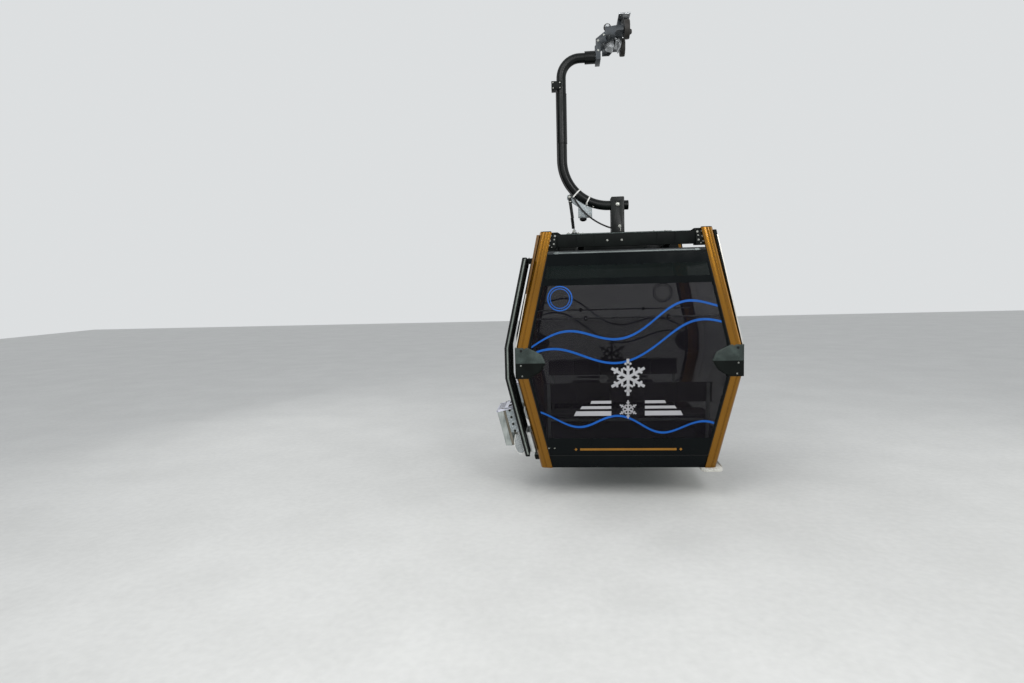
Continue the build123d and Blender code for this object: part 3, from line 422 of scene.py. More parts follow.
def coats(colours):
    """Paints and powder coats."""
    # Pearl gold powder coat on extruded aluminium: a soft metallic glow with the faint drawn lines of the extrusion
    gold = shades(colours.gold, 0.88, 1, 1.1)
    sheen = {"metallic": 0.75, "coat": 0.35, "specular": 0.3}
    finish("pearl_gold_coat", gold, 900, 3, 0.12, UPRIGHT, gloss=(0.2, 0.28), relief=0.03, **sheen)
    # The same coat darkened as painted shade, browner and duller, on the door-side edge of the side walls' skin
    shaded_gold = shades(colours.gold, 0.3, 0.5)
    finish("gold_edge_shade_coat", shaded_gold, 400, 4, 0.5, UPRIGHT, gloss=(0.4, 0.5), relief=0.15, metallic=0.4)
    # The beams' upper flanges: dust and rubbed zinc on the black, and a painted highlight that makes their tops paler
    finish("dust_and_highlight_flange_coat", ("2c3432", "4c5654", "6f7977"), 60, 6, 0.5, gloss=(0.45, 0.6), relief=0.2, specular=0.3)
    # Black powder coat on steel beams: a fine grit that breaks up the light, greyed by dust
    finish("black_frame_coat", ("050807", "0a0e0d", "121715"), 140, 2, gloss=(0.45, 0.62), relief=0.25, specular=0.1)
    # Two-pack black on the hanger's steel tube: glossier than powder, with a soft ripple
    finish("black_tube_paint", ("050707", "090d0c", "111614"), 200, 14, gloss=(0.26, 0.42), relief=0.3, specular=0.22)
    # Graphite paint on the grip's forgings: satin over a slightly rough casting, greasy in the hollows
    finish("cast_paint", ("1d2124", "2e3337", "454b50"), 70, 4, gloss=(0.35, 0.6), relief=0.6, metallic=0.3)
    # Grey-green polyamide strip between the seals of the leaves' edges, rubbed pale
    finish("edge_polyamide", ("535b53", "6f7770", "8b918a"), 320, 12, gloss=(0.4, 0.6), relief=0.3)
    # Cut vinyl films on the glass: satin, a touch paler where the sun has reached them
    finish("blue_film", shades(colours.wave, 0.85, 1.1), 180, 2, gloss=(0.3, 0.45), relief=0.05, specular=0.2)
    finish("silver_film", shades(colours.crystal, 0.9, 1.1), 180, 2, gloss=(0.35, 0.45), relief=0.05, metallic=0.2)
    finish("gold_film", shades(colours.gold, 1.1, 1.4), 180, 2, gloss=(0.35, 0.45), relief=0.05, metallic=0.2)


def panes(colours):
    """Windows and their printed edges."""
    # Black ceramic printed on the panes' edges: deep gloss with the faint roller wave of tempered glass
    finish("ceramic_frit", ("04080a", "080d0e"), 300, 120, 0.3, gloss=(0.08, 0.16), relief=0.2, specular=0.1)
    # Smoked acrylic window: a dark grey with a violet cast, clear enough to show the benches, with wiped smears
    smoke = shades(colours.tint, 0.7, 1.3)
    finish("smoked_acrylic", smoke, 500, 160, 0.3, (1, 1, 0.4), gloss=(0.04, 0.1), relief=0, alpha=0.55, specular=0.15)
    # Lightly smoked acrylic of the leaves, and the greener strip over the end window
    clear = ("39413f", "4b5350")
    finish("pale_acrylic", clear, 500, 160, 0.3, (1, 1, 0.4), gloss=(0.03, 0.1), relief=0, alpha=0.35, specular=0.3)
    finish("green_acrylic", ("08100e", "0e1716"), 500, 160, 0.3, gloss=(0.04, 0.1), relief=0, alpha=0.74, specular=0.15)
    # Opal acrylic over the light strips, unlit by day
    finish("opal_diffuser", ("d3d5d1", "e4e6e2"), 80, 3, gloss=(0.28, 0.36), relief=0.1)


def metals():
    """Bare, plated and anodised metals."""
    # Anodised strip along the roof's edge: satin grey, dulled by dust, with faint drawn lines
    dull = ("4b5251", "626968", "7d8382")
    finish("gutter_aluminium", dull, 150, 2, 0.5, (0.03, 0.03, 1), gloss=(0.3, 0.45), relief=0.1, metallic=0.5)
    # Pale metal line beside the posts: a painted highlight along the edge of the side walls' skin
    finish("bright_aluminium", ("c6c2ba", "ded9cf"), 150, 2, 0.5, UPRIGHT, gloss=(0.25, 0.4), relief=0.1, metallic=0.4)
    # Natural anodised extrusions of racks, rails and benches: satin grey with drawn lines and handling marks
    grey = ("858c8a", "a7adaa", "c2c7c4")
    finish("extruded_aluminium", grey, 90, 3, 0.5, UPRIGHT, gloss=(0.3, 0.48), relief=0.2, metallic=0.85)
    # Hot-dip galvanised steel: dull grey with lighter crystals
    zinc = ("8b9395", "a6aeb0", "c4cacb")
    finish("hot_dip_zinc", zinc, 60, 12, 0.6, cells=1, gloss=(0.4, 0.6), relief=0.05, metallic=0.35)
    # Sheet of the racks' webs: a warm grey, made darker than the strips beside it as painted shade
    warm = ("5c584c", "716c5f", "87827a")
    finish("weathered_sheet", warm, 120, 5, 0.5, UPRIGHT, gloss=(0.5, 0.65), relief=0.2, metallic=0.3)
    # Zinc-plated bolts, screws and pins: mid grey metal with a yellowish bloom
    finish("plated_steel", ("83857f", "a9aaa4"), 12, 3, gloss=(0.25, 0.4), relief=0.05, metallic=1.0)
    # Machined steel of the jaws, pins and drive shoe: bright, with tool marks and an oil film
    steel = ("66696b", "9da0a2", "c0c2c3")
    finish("machined_steel", steel, 45, 3, 0.6, ROUND_ABOUT, gloss=(0.22, 0.42), relief=0.15, metallic=1.0)
    # Mill-finish sheet under the floor: grey, streaked by water and grit
    mill = ("5c6060", "838887", "a0a4a3")
    finish("mill_aluminium", mill, 220, 4, 0.4, LENGTHWISE, gloss=(0.38, 0.62), metallic=0.8)


def mouldings(colours):
    """Plastics, rubbers and laminates."""
    # Black ABS moulded with a leather grain, rubbed paler where it is leaned on
    black = ("050807", "0b100e", "131916")
    finish("grained_abs", black, 120, 3, cells=1, gloss=(0.42, 0.58), relief=0.4, specular=0.12)
    # The same plastic made paler over a cap's crease: a painted highlight on the half that faces up
    finish("lit_cap_abs", ("242d2a", "38433f", "515d59"), 90, 3, cells=1, gloss=(0.4, 0.55), relief=0.4, specular=0.3)
    # Bench shells moulded with a sand grain, polished in the hollows
    bench = shades(colours.bench, 0.7, 1, 1.3)
    finish("bench_abs", bench, 130, 2, gloss=(0.35, 0.6), relief=0.2)
    # Back rests in pebbled vinyl over foam
    finish("back_vinyl", ("332f30", "484444", "565252"), 140, 4, cells=1, gloss=(0.45, 0.55), relief=0.4)
    # Rotation-moulded polyethylene bins: milky and waxy, scuffed by ski edges
    milk = ("a3a7a4", "c8cbc9", "dcdedc")
    finish("bin_polyethylene", milk, 90, 14, 0.5, (1, 1, 0.2), gloss=(0.22, 0.45), relief=0.3, coat=0.2)
    # Pale polyamide of the racks' combs: dense and faintly blue, nicked by ski edges
    finish("comb_polyamide", ("aeb0bc", "c9cad6", "dcdde6"), 60, 9, gloss=(0.3, 0.45), relief=0.3)
    # Clear polycarbonate of the outer pockets, hazed by scratches
    finish("clear_polycarbonate", ("9aa0a1", "bcc2c2"), 60, 6, 0.5, gloss=(0.1, 0.3), relief=0, alpha=0.4)
    # Planed polyethylene slide bar: off-white, with long grey rubbing marks
    finish("skid_polyethylene", ("9f9e95", "c5c4bb", "d8d7cf"), 150, 9, 0.6, LENGTHWISE, gloss=(0.5, 0.6), relief=0.4)
    # Glass-fibre roof in dark gelcoat: glossy under a film of dust
    finish("roof_gelcoat", ("0a0d0e", "12171a", "22282a"), 260, 9, 0.3, gloss=(0.25, 0.5), relief=0.2, specular=0.3)
    # Pale grey liner sheet of the ceiling, finely pebbled
    finish("liner_laminate", ("858583", "979794"), 200, 3, gloss=(0.5, 0.6))
    # EPDM seals and gaskets: matt black with a dusty bloom
    finish("seal_rubber", ("080909", "151717"), 40, 2, gloss=(0.65, 0.8), relief=0.1, specular=0.25)
    # Black polyurethane cable jacket with the faint lay of its cores
    finish("cable_jacket", ("090a0a", "171919"), 25, 8, 0.5, (1, 1, 0.4), gloss=(0.42, 0.55), relief=0.4)
    # Rubber floor covering with round studs 25 mm apart, worn grey on their tops
    finish("studded_rubber", ("0d0e0f", "1b1d1e", "323538"), 150, 25, 0.6, cells=0, gloss=(0.6, 0.75), relief=1.5)
    # Cast polyurethane tyres: waxy brown-black, with fine running scratches
    finish("tyre_polyurethane", ("13110e", "231f1a"), 30, 2, 0.5, (0.2, 1, 1), gloss=(0.5, 0.65))
    # Natural nylon of cable ties and slides: milky white
    finish("white_nylon", ("d3d3cd", "e8e8e3"), 20, 2, gloss=(0.36, 0.45), relief=0.1)


# Which finish each of the record's material slots gets
SLOT_FINISHES = {
    "grip_paint": "cast_paint",
    "bright_steel": "machined_steel",
    "wheel_plastic": "tyre_polyurethane",
    "hanger_paint": "black_tube_paint",
    "damper_black": "black_tube_paint",
    "galvanised": "hot_dip_zinc",
    "cable_jacket": "cable_jacket",
    "frame_paint": "black_frame_coat",
    "post_gold": "pearl_gold_coat",
    "cap_plastic": "grained_abs",
    "roof_plastic": "roof_gelcoat",
    "liner_grey": "liner_laminate",
    "tinted_pane": "smoked_acrylic",
    "clear_pane": "pale_acrylic",
    "black_panel": "ceramic_frit",
    "door_frame": "black_frame_coat",
    "floor_aluminium": "mill_aluminium",
    "floor_rubber": "studded_rubber",
    "skid_plastic": "skid_polyethylene",
    "seat_plastic": "bench_abs",
    "rail_aluminium": "extruded_aluminium",
    "bin_plastic": "bin_polyethylene",
}


# Sizes and colours


# What every colour has besides its name, description and default
COLOUR = {"size": 4, "subtype": "COLOR"}


class CABIN_PG_colours(bpy.types.PropertyGroup):
    """Colours of the cabin."""

    gold: FloatVectorProperty(
        name="Posts", description="Powder coat of the corner posts", default=hex_colour("84590a"), **COLOUR
    )
    tint: FloatVectorProperty(
        name="Window tint", description="Colour of the smoked windows", default=hex_colour("0c0910"), **COLOUR
    )
    wave: FloatVectorProperty(
        name="Waves", description="Film of the waves and the ring", default=hex_colour("1458ac"), **COLOUR
    )
    crystal: FloatVectorProperty(
        name="Crystals", description="Film of the snow crystals", default=hex_colour("adadb0"), **COLOUR
    )
    bench: FloatVectorProperty(
        name="Benches", description="Plastic of the seats", default=hex_colour("363639"), **COLOUR
    )


class CABIN_PG_view(bpy.types.PropertyGroup):
    """Camera, floor and light."""

    lens: FloatProperty(name="Lens", description="Focal length on a 36 mm sensor", default=22.08, min=1)
    pitch: FloatProperty(
        name="Pitch", description="How far the camera looks down", default=radians(5.16), subtype="ANGLE"
    )
    yaw: FloatProperty(
        name="Yaw", description="How far the camera is turned left", default=radians(4.85), subtype="ANGLE"
    )
    roll: FloatProperty(name="Roll", description="Tilt of the camera", default=radians(-1.47), subtype="ANGLE")
    place: FloatVectorProperty(
        name="Place",
        description="Camera's place in the cabin's frame",
        default=(-0.593, -7.039, FOOT + 1.784),
        subtype="TRANSLATION",
    )
    floor_drop: FloatProperty(
        name="Floor drop", description="Floor under the posts' foot", default=0.35, unit="LENGTH"
    )
    key: FloatProperty(
        name="Key", description="Power of the soft lamp high beside the camera, in watts", default=180, min=0
    )
    fill: FloatProperty(
        name="Fill", description="Power of each side lamp, in watts, and a quarter of the top lamp's", default=45, min=0
    )
    sky: FloatProperty(name="Sky", description="Strength of the world's light on the object", default=0.6, min=0)


class CABIN_PG_glazing(bpy.types.PropertyGroup):
    """Panes and what is printed on them, as heights over the foot of the side walls."""

    recess: FloatProperty(name="Recess", description="Panes behind the posts' faces", default=8 * MM, unit="LENGTH")
    thickness: FloatProperty(name="Thickness", description="Thickness of the panes", default=8 * MM, unit="LENGTH")
    foot: FloatProperty(name="Foot", description="Foot of the panes", default=0.095, unit="LENGTH")
    low_band: FloatProperty(
        name="Low band", description="Top of the black band at the foot", default=0.270, unit="LENGTH"
    )
    strip_foot: FloatProperty(name="Strip foot", description="Foot of the black strip", default=1.763, unit="LENGTH")
    strip_top: FloatProperty(
        name="Strip top", description="Foot of the clear strip over it", default=1.829, unit="LENGTH"
    )
    clear_top: FloatProperty(name="Clear top", description="Top of the clear strip", default=1.952, unit="LENGTH")
    top: FloatProperty(name="Top", description="Top of the panes", default=2.060, unit="LENGTH")
    border: FloatProperty(name="Border", description="Black edge beside the posts", default=30 * MM, unit="LENGTH")


class CABIN_PG_decor(bpy.types.PropertyGroup):
    """Films on the end panes: plain waves, snow crystals, bars and a blank ring."""

    wave_width: FloatProperty(
        name="Wave width", description="Height of the blue waves' band", default=21 * MM, unit="LENGTH"
    )
    wave_steps: IntProperty(name="Wave steps", description="Divisions of a wave", default=64, min=8)
    crystal_radius: FloatProperty(
        name="Crystal", description="Radius of the large crystal", default=0.18, unit="LENGTH"
    )
    ring_radius: FloatProperty(name="Ring radius", description="Outer radius of the ring", default=0.121, unit="LENGTH")
    ring_across: FloatProperty(name="Ring place", description="Ring's middle across", default=-0.636, unit="LENGTH")
    ring_height: FloatProperty(
        name="Ring height", description="Ring's middle over the foot", default=1.640, unit="LENGTH"
    )


class CABIN_PG_fittings(bpy.types.PropertyGroup):
    """Bolts, flanges and edges of the steel work."""

    bolt: FloatProperty(name="Bolt", description="Radius of the roof frame's bolt heads", default=7 * MM, unit="LENGTH")
    screw: FloatProperty(name="Screw", description="Radius of panel screws", default=5 * MM, unit="LENGTH")
    flange: FloatProperty(
        name="Flange", description="How far the beams' flanges stand out", default=7 * MM, unit="LENGTH"
    )
    seam: FloatProperty(name="Rounding", description="Rounding of beams and plates", default=2 * MM, unit="LENGTH")


class CABIN_OT_finishes(bpy.types.Operator):
    """Makes every finish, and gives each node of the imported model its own"""

    bl_idname = "cabin.finishes"
    bl_label = "Finishes"

    def execute(self, context):
        colours = context.scene.cabin_colours
        coats(colours)
        panes(colours)
        metals()
        mouldings(colours)
        for part in frame["record"]["subparts"]:
            mesh = frame["nodes"][part["node"]].data
            mesh.materials.clear()
            mesh.materials.append(bpy.data.materials[SLOT_FINISHES[part["material_slot"]]])
        return {"FINISHED"}


class CABIN_OT_stage(bpy.types.Operator):
    """Camera, floor, lamps and world"""

    bl_idname = "cabin.stage"
    bl_label = "Stage"

    def execute(self, context):
        view = context.scene.cabin_view
        right = Vector((cos(view.yaw), sin(view.yaw), 0))
        ahead = Vector((-sin(view.yaw) * cos(view.pitch), cos(view.yaw) * cos(view.pitch), -sin(view.pitch)))
        over = Vector((-sin(view.yaw) * sin(view.pitch), cos(view.yaw) * sin(view.pitch), cos(view.pitch)))
        turned_right = cos(view.roll) * right + sin(view.roll) * over
        turned_over = -sin(view.roll) * right + cos(view.roll) * over
        data = bpy.data.cameras.new("camera")
        data.sensor_width = 36
        data.lens = view.lens
        data.clip_end = 200
        camera = bpy.data.objects.new("camera", data)
        context.scene.collection.objects.link(camera)
        turn = Matrix((turned_right, turned_over, -ahead)).transposed().to_4x4()
        camera.matrix_world = Matrix.Translation(Vector(view.place)) @ turn
        context.scene.camera = camera
        self.floor(context, view)
        self.world(context, view)
        self.lamps(context, view)
        context.scene.view_settings.view_transform = "Standard"
        return {"FINISHED"}

    def floor(self, context, view):
        """Pale sealed concrete under the cabin."""
        ground = finish("sealed_concrete", ("d6d6d2", "e0e0dc"), 700, 60, gloss=(0.7, 0.85), relief=0.2)
        bm = bmesh.new()
        bmesh.ops.create_grid(bm, x_segments=1, y_segments=1, size=30)
        bmesh.ops.translate(bm, verts=bm.verts, vec=(0, 0, up(-view.floor_drop)))
        mesh = bpy.data.meshes.new("floor")
        bm.to_mesh(mesh)
        bm.free()
        mesh.materials.append(ground)
        floor = bpy.data.objects.new("floor", mesh)
        context.scene.collection.objects.link(floor)

    def world(self, context, view):
        """Soft light from all round, and a pale backdrop where the camera, gloss or glass looks past the object."""
        world = bpy.data.worlds.new("world")
        context.scene.world = world
        world.use_nodes = True
        tree = world.node_tree
        sky = tree.nodes["Background"]
        sky.inputs["Color"].default_value = (0.92, 0.95, 1, 1)
        sky.inputs["Strength"].default_value = view.sky
        seen = add_node(tree, "ShaderNodeBackground", {"Color": (0.8, 0.82, 0.83, 1), "Strength": 0.9})
        path = add_node(tree, "ShaderNodeLightPath").outputs
        straight = {0: path["Is Camera Ray"], 1: path["Is Transmission Ray"]}
        through = add_node(tree, "ShaderNodeMath", straight, operation="MAXIMUM").outputs["Value"]
        shown = {0: through, 1: path["Is Glossy Ray"]}
        direct = add_node(tree, "ShaderNodeMath", shown, operation="MAXIMUM").outputs["Value"]
        mixed = add_node(tree, "ShaderNodeMixShader", {"Fac": direct})
        tree.links.new(sky.outputs["Background"], mixed.inputs[1])
        tree.links.new(seen.outputs["Background"], mixed.inputs[2])
        tree.links.new(mixed.outputs["Shader"], tree.nodes["World Output"].inputs["Surface"])

    def lamps(self, context, view):
        """A soft lamp high beside the camera, a large one over it, and one at each side."""
        middle = Vector((0, 0, up(1.2)))
        for name, place, size, power in (
            ("key", (2.2, -8.0, up(5.4)), 2.2, view.key),
            ("over", (-2.5, -5.0, up(6.0)), 4.0, view.fill * 4),
            ("fill_far", (6.0, -1.0, up(3.0)), 3.5, view.fill),
            ("fill_door", (-6.0, 2.5, up(3.5)), 3.5, view.fill),
        ):
            data = bpy.data.lights.new(name, "AREA")
            data.size = size
            data.energy = power
            lamp = bpy.data.objects.new(name, data)
            lamp.matrix_world = pointing(place, middle - Vector(place), "-Z")
            context.scene.collection.objects.link(lamp)


# Pieces of the shell


class CABIN_OT_posts(bpy.types.Operator):
    """Corner posts with their lips, grooves and end plugs, knee caps, and the edges of the side walls' skin"""

    bl_idname = "cabin.posts"
    bl_label = "Corner posts"

    def execute(self, context):
        for end, facing in ENDS:
            for name, side in SIDES:
                self.post(end, name, side, facing)
                self.plug(f"post_{end}_{name}_plug", side, facing)
        self.caps()
        self.skin_edges()
        return {"FINISHED"}

    def post(self, end, name, side, facing):
        """A post drawn up from its section: two crowned faces with a lip and a groove each, and a rounded corner."""
        node = f"post_{end}_{name}"
        # Half of the section in millimetres: how far along a face from the corner, and how far in from the face
        width, wall, corner, diagonal = POST_WIDTH / MM, POST_WALL / MM, 48, 34 / 2.4
        half = [(width, 8), (width, 0), (111, -1.5), (108, -2), (105, -1), (103.5, 0.5)]
        half += [(place, -3 + 3 * ((place - 80) / 24) ** 2) for place in (102, 96, 90, 84, 78, 72, 66, 60)]
        half += [(58, 0.5), (56.5, -1.5), (54.5, -2), (53, -1), (52.5, 4), (48.5, 4), (47.5, 0)]
        turns = [radians(turn) for turn in range(5, 45, 5)]
        half += [(corner - corner * sin(turn), corner - corner * cos(turn)) for turn in turns]
        mirrored = [(b, a) for a, b in reversed(half)]
        outline = half + [(diagonal, diagonal)] + mirrored + [(wall, width), (wall, wall), (width, wall)]
        bm = bmesh.new()
        reach = [Vector((side * x, facing * y, z)) for x, y, z in zip(*REACH, LEVELS)]
        drawn = bm.faces.new([bm.verts.new(reach[0] - Vector((side * a, facing * b, 0)) * MM) for a, b in outline])
        for here, there in zip(reach, reach[1:]):
            made = bmesh.ops.extrude_face_region(bm, geom=[drawn])["geom"]
            drawn = next(item for item in made if isinstance(item, bmesh.types.BMFace))
            bmesh.ops.translate(bm, vec=there - here, verts=drawn.verts)
        bmesh.ops.recalc_face_normals(bm, faces=bm.faces)
        piece(node + "_shell", bm, "pearl_gold_coat", stands_for=(node,), smooth=28)

    def plug(self, name, side, facing):
        """Black moulded plug in the top of a post."""
        x, y = REACH[0][-1], REACH[1][-1]
        inset, turn = 3 * MM, 46 * MM
        wall_x, wall_y = x - POST_WALL + inset, y - POST_WALL + inset
        back_x, back_y = x - POST_WIDTH + inset, y - POST_WIDTH + inset
        rounding = [(turn * cos(angle), turn * sin(angle)) for angle in (0, 0.4, 0.8, 1.2, pi / 2)]
        outline = [(x - turn + a - inset, y - turn + b - inset) for a, b in rounding]
        outline += [(back_x, y - inset), (back_x, wall_y), (wall_x, wall_y), (wall_x, back_y), (x - inset, back_y)]
        bm = bmesh.new()
        prism(bm, [(side * a, facing * b, LEVELS[-1]) for a, b in outline], (0, 0, 7 * MM))
        round_edges(bm, 2 * MM)
        piece(name, bm, "grained_abs")

    def caps(self):
        """Knee caps with swelling rows, a crease and screws."""
        bm = merged("knee_caps")
        low, high = LEVELS[1], LEVELS[2]
        tall, middle = high - low, low + 0.5 * (high - low)
        rows, swell, proud_face = 12, 14 * MM, 14 * MM
        for step in range(1, rows):
            cut(bm, low + tall * step / rows)
        for vert in bm.verts:
            share = (vert.co.z - low) / tall
            inward = REACH[0][1] - abs(vert.co.x)
            if inward > 60 * MM and 0.01 < share < 0.99:
                vert.co.x -= (1 if vert.co.x > 0 else -1) * swell * sin(pi * share) ** 0.6
        # The end face leans back from the crease to the top, and is nearly upright under it
        for vert in bm.verts:
            proud = abs(vert.co.y) - REACH[1][1]
            if proud > 1 * MM:
                share = (vert.co.z - low) / tall
                slope = (1 - share) * 1.75 if vert.co.z > middle else 0.45 + share * 0.3
                vert.co.y = (1 if vert.co.y > 0 else -1) * (REACH[1][1] + proud * min(1, 0.16 + slope))
        round_edges(bm, 6 * MM, 3, 38)
        # Upward-facing faces over the crease take the paler plastic: painted light
        for face in bm.faces:
            lit_half = face.calc_center_median().z > middle and abs(face.normal.y) > 0.5
            face.material_index = 1 if lit_half else 0
        piece("knee_cap_shells", bm, ("grained_abs", "lit_cap_abs"), stands_for=("knee_caps",), smooth=55)
        screws, creases = bmesh.new(), bmesh.new()
        for end, facing in ENDS:
            for _, side in SIDES:
                for across, share, rise in ((54 * MM, 0.09, 11 * MM), (42 * MM, 0.43, 12.5 * MM)):
                    place = Vector((side * (REACH[0][1] - across), facing * REACH[1][1], low + tall * share))
                    bar(screws, place, place + Vector((0, facing * rise, 0)), 8 * MM)
                # A black disc in the screw recess and a black strip along the crease, as painted shade
                recess = Vector((side * (REACH[0][1] - 46 * MM), facing * REACH[1][1], low + tall * 0.9))
                bar(creases, recess, recess + Vector((0, facing * 6 * MM, 0)), 13 * MM)
                foot, top = (8 * MM, 1 * MM - proud_face, middle - 4 * MM), (240 * MM, 8 * MM - proud_face, middle)
                strip(creases, end, foot, top, side, bend=0)
        piece("knee_cap_screws", screws, "plated_steel")
        piece("knee_cap_crease_shades", creases, "seal_rubber")

    def skin_edges(self):
        """Edges of the side walls' skin, in darkened gold at the door side and black opposite as painted shade, with a
        painted highlight line on each.
        """
        bm = merged("corner_trims")
        # Painted shade: the door-side edge gets the darkened gold, and the far-side edge black
        for face in bm.faces:
            face.material_index = 0 if face.calc_center_median().x < 0 else 1
        round_edges(bm, 1.5 * MM)
        piece("skin_edges", bm, ("gold_edge_shade_coat", "black_frame_coat"), stands_for=("corner_trims",))
        # Pale lines on the skin's edges: painted highlights
        bm = bmesh.new()
        low, high = LEVELS[2], LEVELS[-1] - 70 * MM
        for end, _ in ENDS:
            for side, top in ((1, high), (-1, low + 0.5 * (high - low))):
                line = bmesh.new()
                cuboid(line, (0, 14 * MM, low), (8 * MM, 24 * MM, top))
                for vert in line.verts:
                    vert.co.x -= (7 + 22 * (vert.co.z - low) / (LEVELS[-1] - low)) * MM
                fold(line, end, side, bend=0)
                gather(bm, line)
        piece("skin_edge_highlights", bm, "bright_aluminium")


class CABIN_OT_glazing(bpy.types.Operator):
    """End, side and door-side panes with their printed bands and gaskets, and the panels under and over them"""

    bl_idname = "cabin.glazing"
    bl_label = "Glazing"

    def execute(self, context):
        glazing = context.scene.cabin_glazing
        end_bands = (glazing.low_band, glazing.strip_foot, glazing.strip_top, glazing.clear_top)
        for end, _ in ENDS:
            self.pane(glazing, f"end_glass_{end}", end, end_bands)
        self.pane(glazing, "side_glass", "far", (glazing.low_band, glazing.clear_top))
        self.door_side(glazing)
        self.gaskets(glazing)
        self.latches(glazing)
        for node in ("end_sills", "side_sill", "door_sill", "door_header"):
            softened(node + "_panel", node, "ceramic_frit", 3 * MM)
        softened("door_jamb_posts", "door_jambs", "black_frame_coat", 3 * MM)
        return {"FINISHED"}

    def pane(self, glazing, node, wall, bands):
        """A pane across a wall, divided where its print changes: smoked, black, or clear."""
        bm = bmesh.new()
        inner = glazing.recess + glazing.thickness
        cuboid(bm, (-1, glazing.recess, up(glazing.foot)), (1, inner, up(glazing.top)))
        for height in bands:
            cut(bm, up(height))
        edge = 1 - glazing.border / (REACH[1 - WALLS[wall][0]][1] - POST_WIDTH)
        for x in (-edge, edge):
            cut(bm, x=x)
        has_strip = len(bands) == 4
        for face in bm.faces:
            across, _, z = face.calc_center_median()
            height = z - FOOT
            black = height < bands[0] or height > bands[-1] or abs(across) > edge
            black = black or (has_strip and bands[1] < height < bands[2])
            clear = has_strip and height > bands[2]
            face.material_index = 1 if black else 2 if clear else 0
        fold(bm, wall, margin=POST_WIDTH)
        finishes = ("smoked_acrylic", "ceramic_frit", "green_acrylic")
        piece(node + "_pane", bm, finishes, stands_for=(node,), smooth=60)

    def door_side(self, glazing):
        """Fixed panes beside the doorway, whose upper black band is deeper."""
        bm = merged("door_side_glass")
        top = glazing.clear_top - 60 * MM
        for height in (glazing.low_band, top):
            cut(bm, up(height))
        for face in bm.faces:
            height = face.calc_center_median().z - FOOT
            face.material_index = 0 if glazing.low_band < height < top else 1
        finishes = ("smoked_acrylic", "ceramic_frit")
        piece("door_side_panes", bm, finishes, stands_for=("door_side_glass",), smooth=60)

    def gaskets(self, glazing):
        """Rubber between the panes and the posts, and under the panes."""
        bm = bmesh.new()
        foot, top, face = up(glazing.foot), up(glazing.top), 8.5 * MM
        for wall in ("front", "rear", "far"):
            for corner in (-1, 1):
                low, high = (POST_WIDTH - 1 * MM, 3 * MM, foot), (POST_WIDTH + 9 * MM, face, top)
                strip(bm, wall, low, high, corner, rounding=1 * MM)
            strip(bm, wall, (-1, 5 * MM, foot - 4 * MM), (1, face, foot + 4 * MM), margin=POST_WIDTH)
        piece("pane_gaskets", bm, "seal_rubber")

    def latches(self, glazing):
        """Emergency latch with two pale buttons, low on each end pane."""
        plates, buttons = bmesh.new(), bmesh.new()
        z = up(glazing.low_band) - 100 * MM
        face = glazing.recess
        for end, facing in ENDS:
            for place in (0.77, 0.715):
                x = facing * place - 16 * MM
                strip(plates, end, (x, face - 3 * MM, z - 9 * MM), (x + 32 * MM, face, z + 9 * MM), rounding=1 * MM)
                low, high = (x + 9 * MM, face - 6 * MM, z - 4 * MM), (x + 25 * MM, face - 3 * MM, z + 5 * MM)
                strip(buttons, end, low, high, rounding=1 * MM)
        piece("latch_plates", plates, "grained_abs")
        piece("latch_buttons", buttons, "plated_steel")


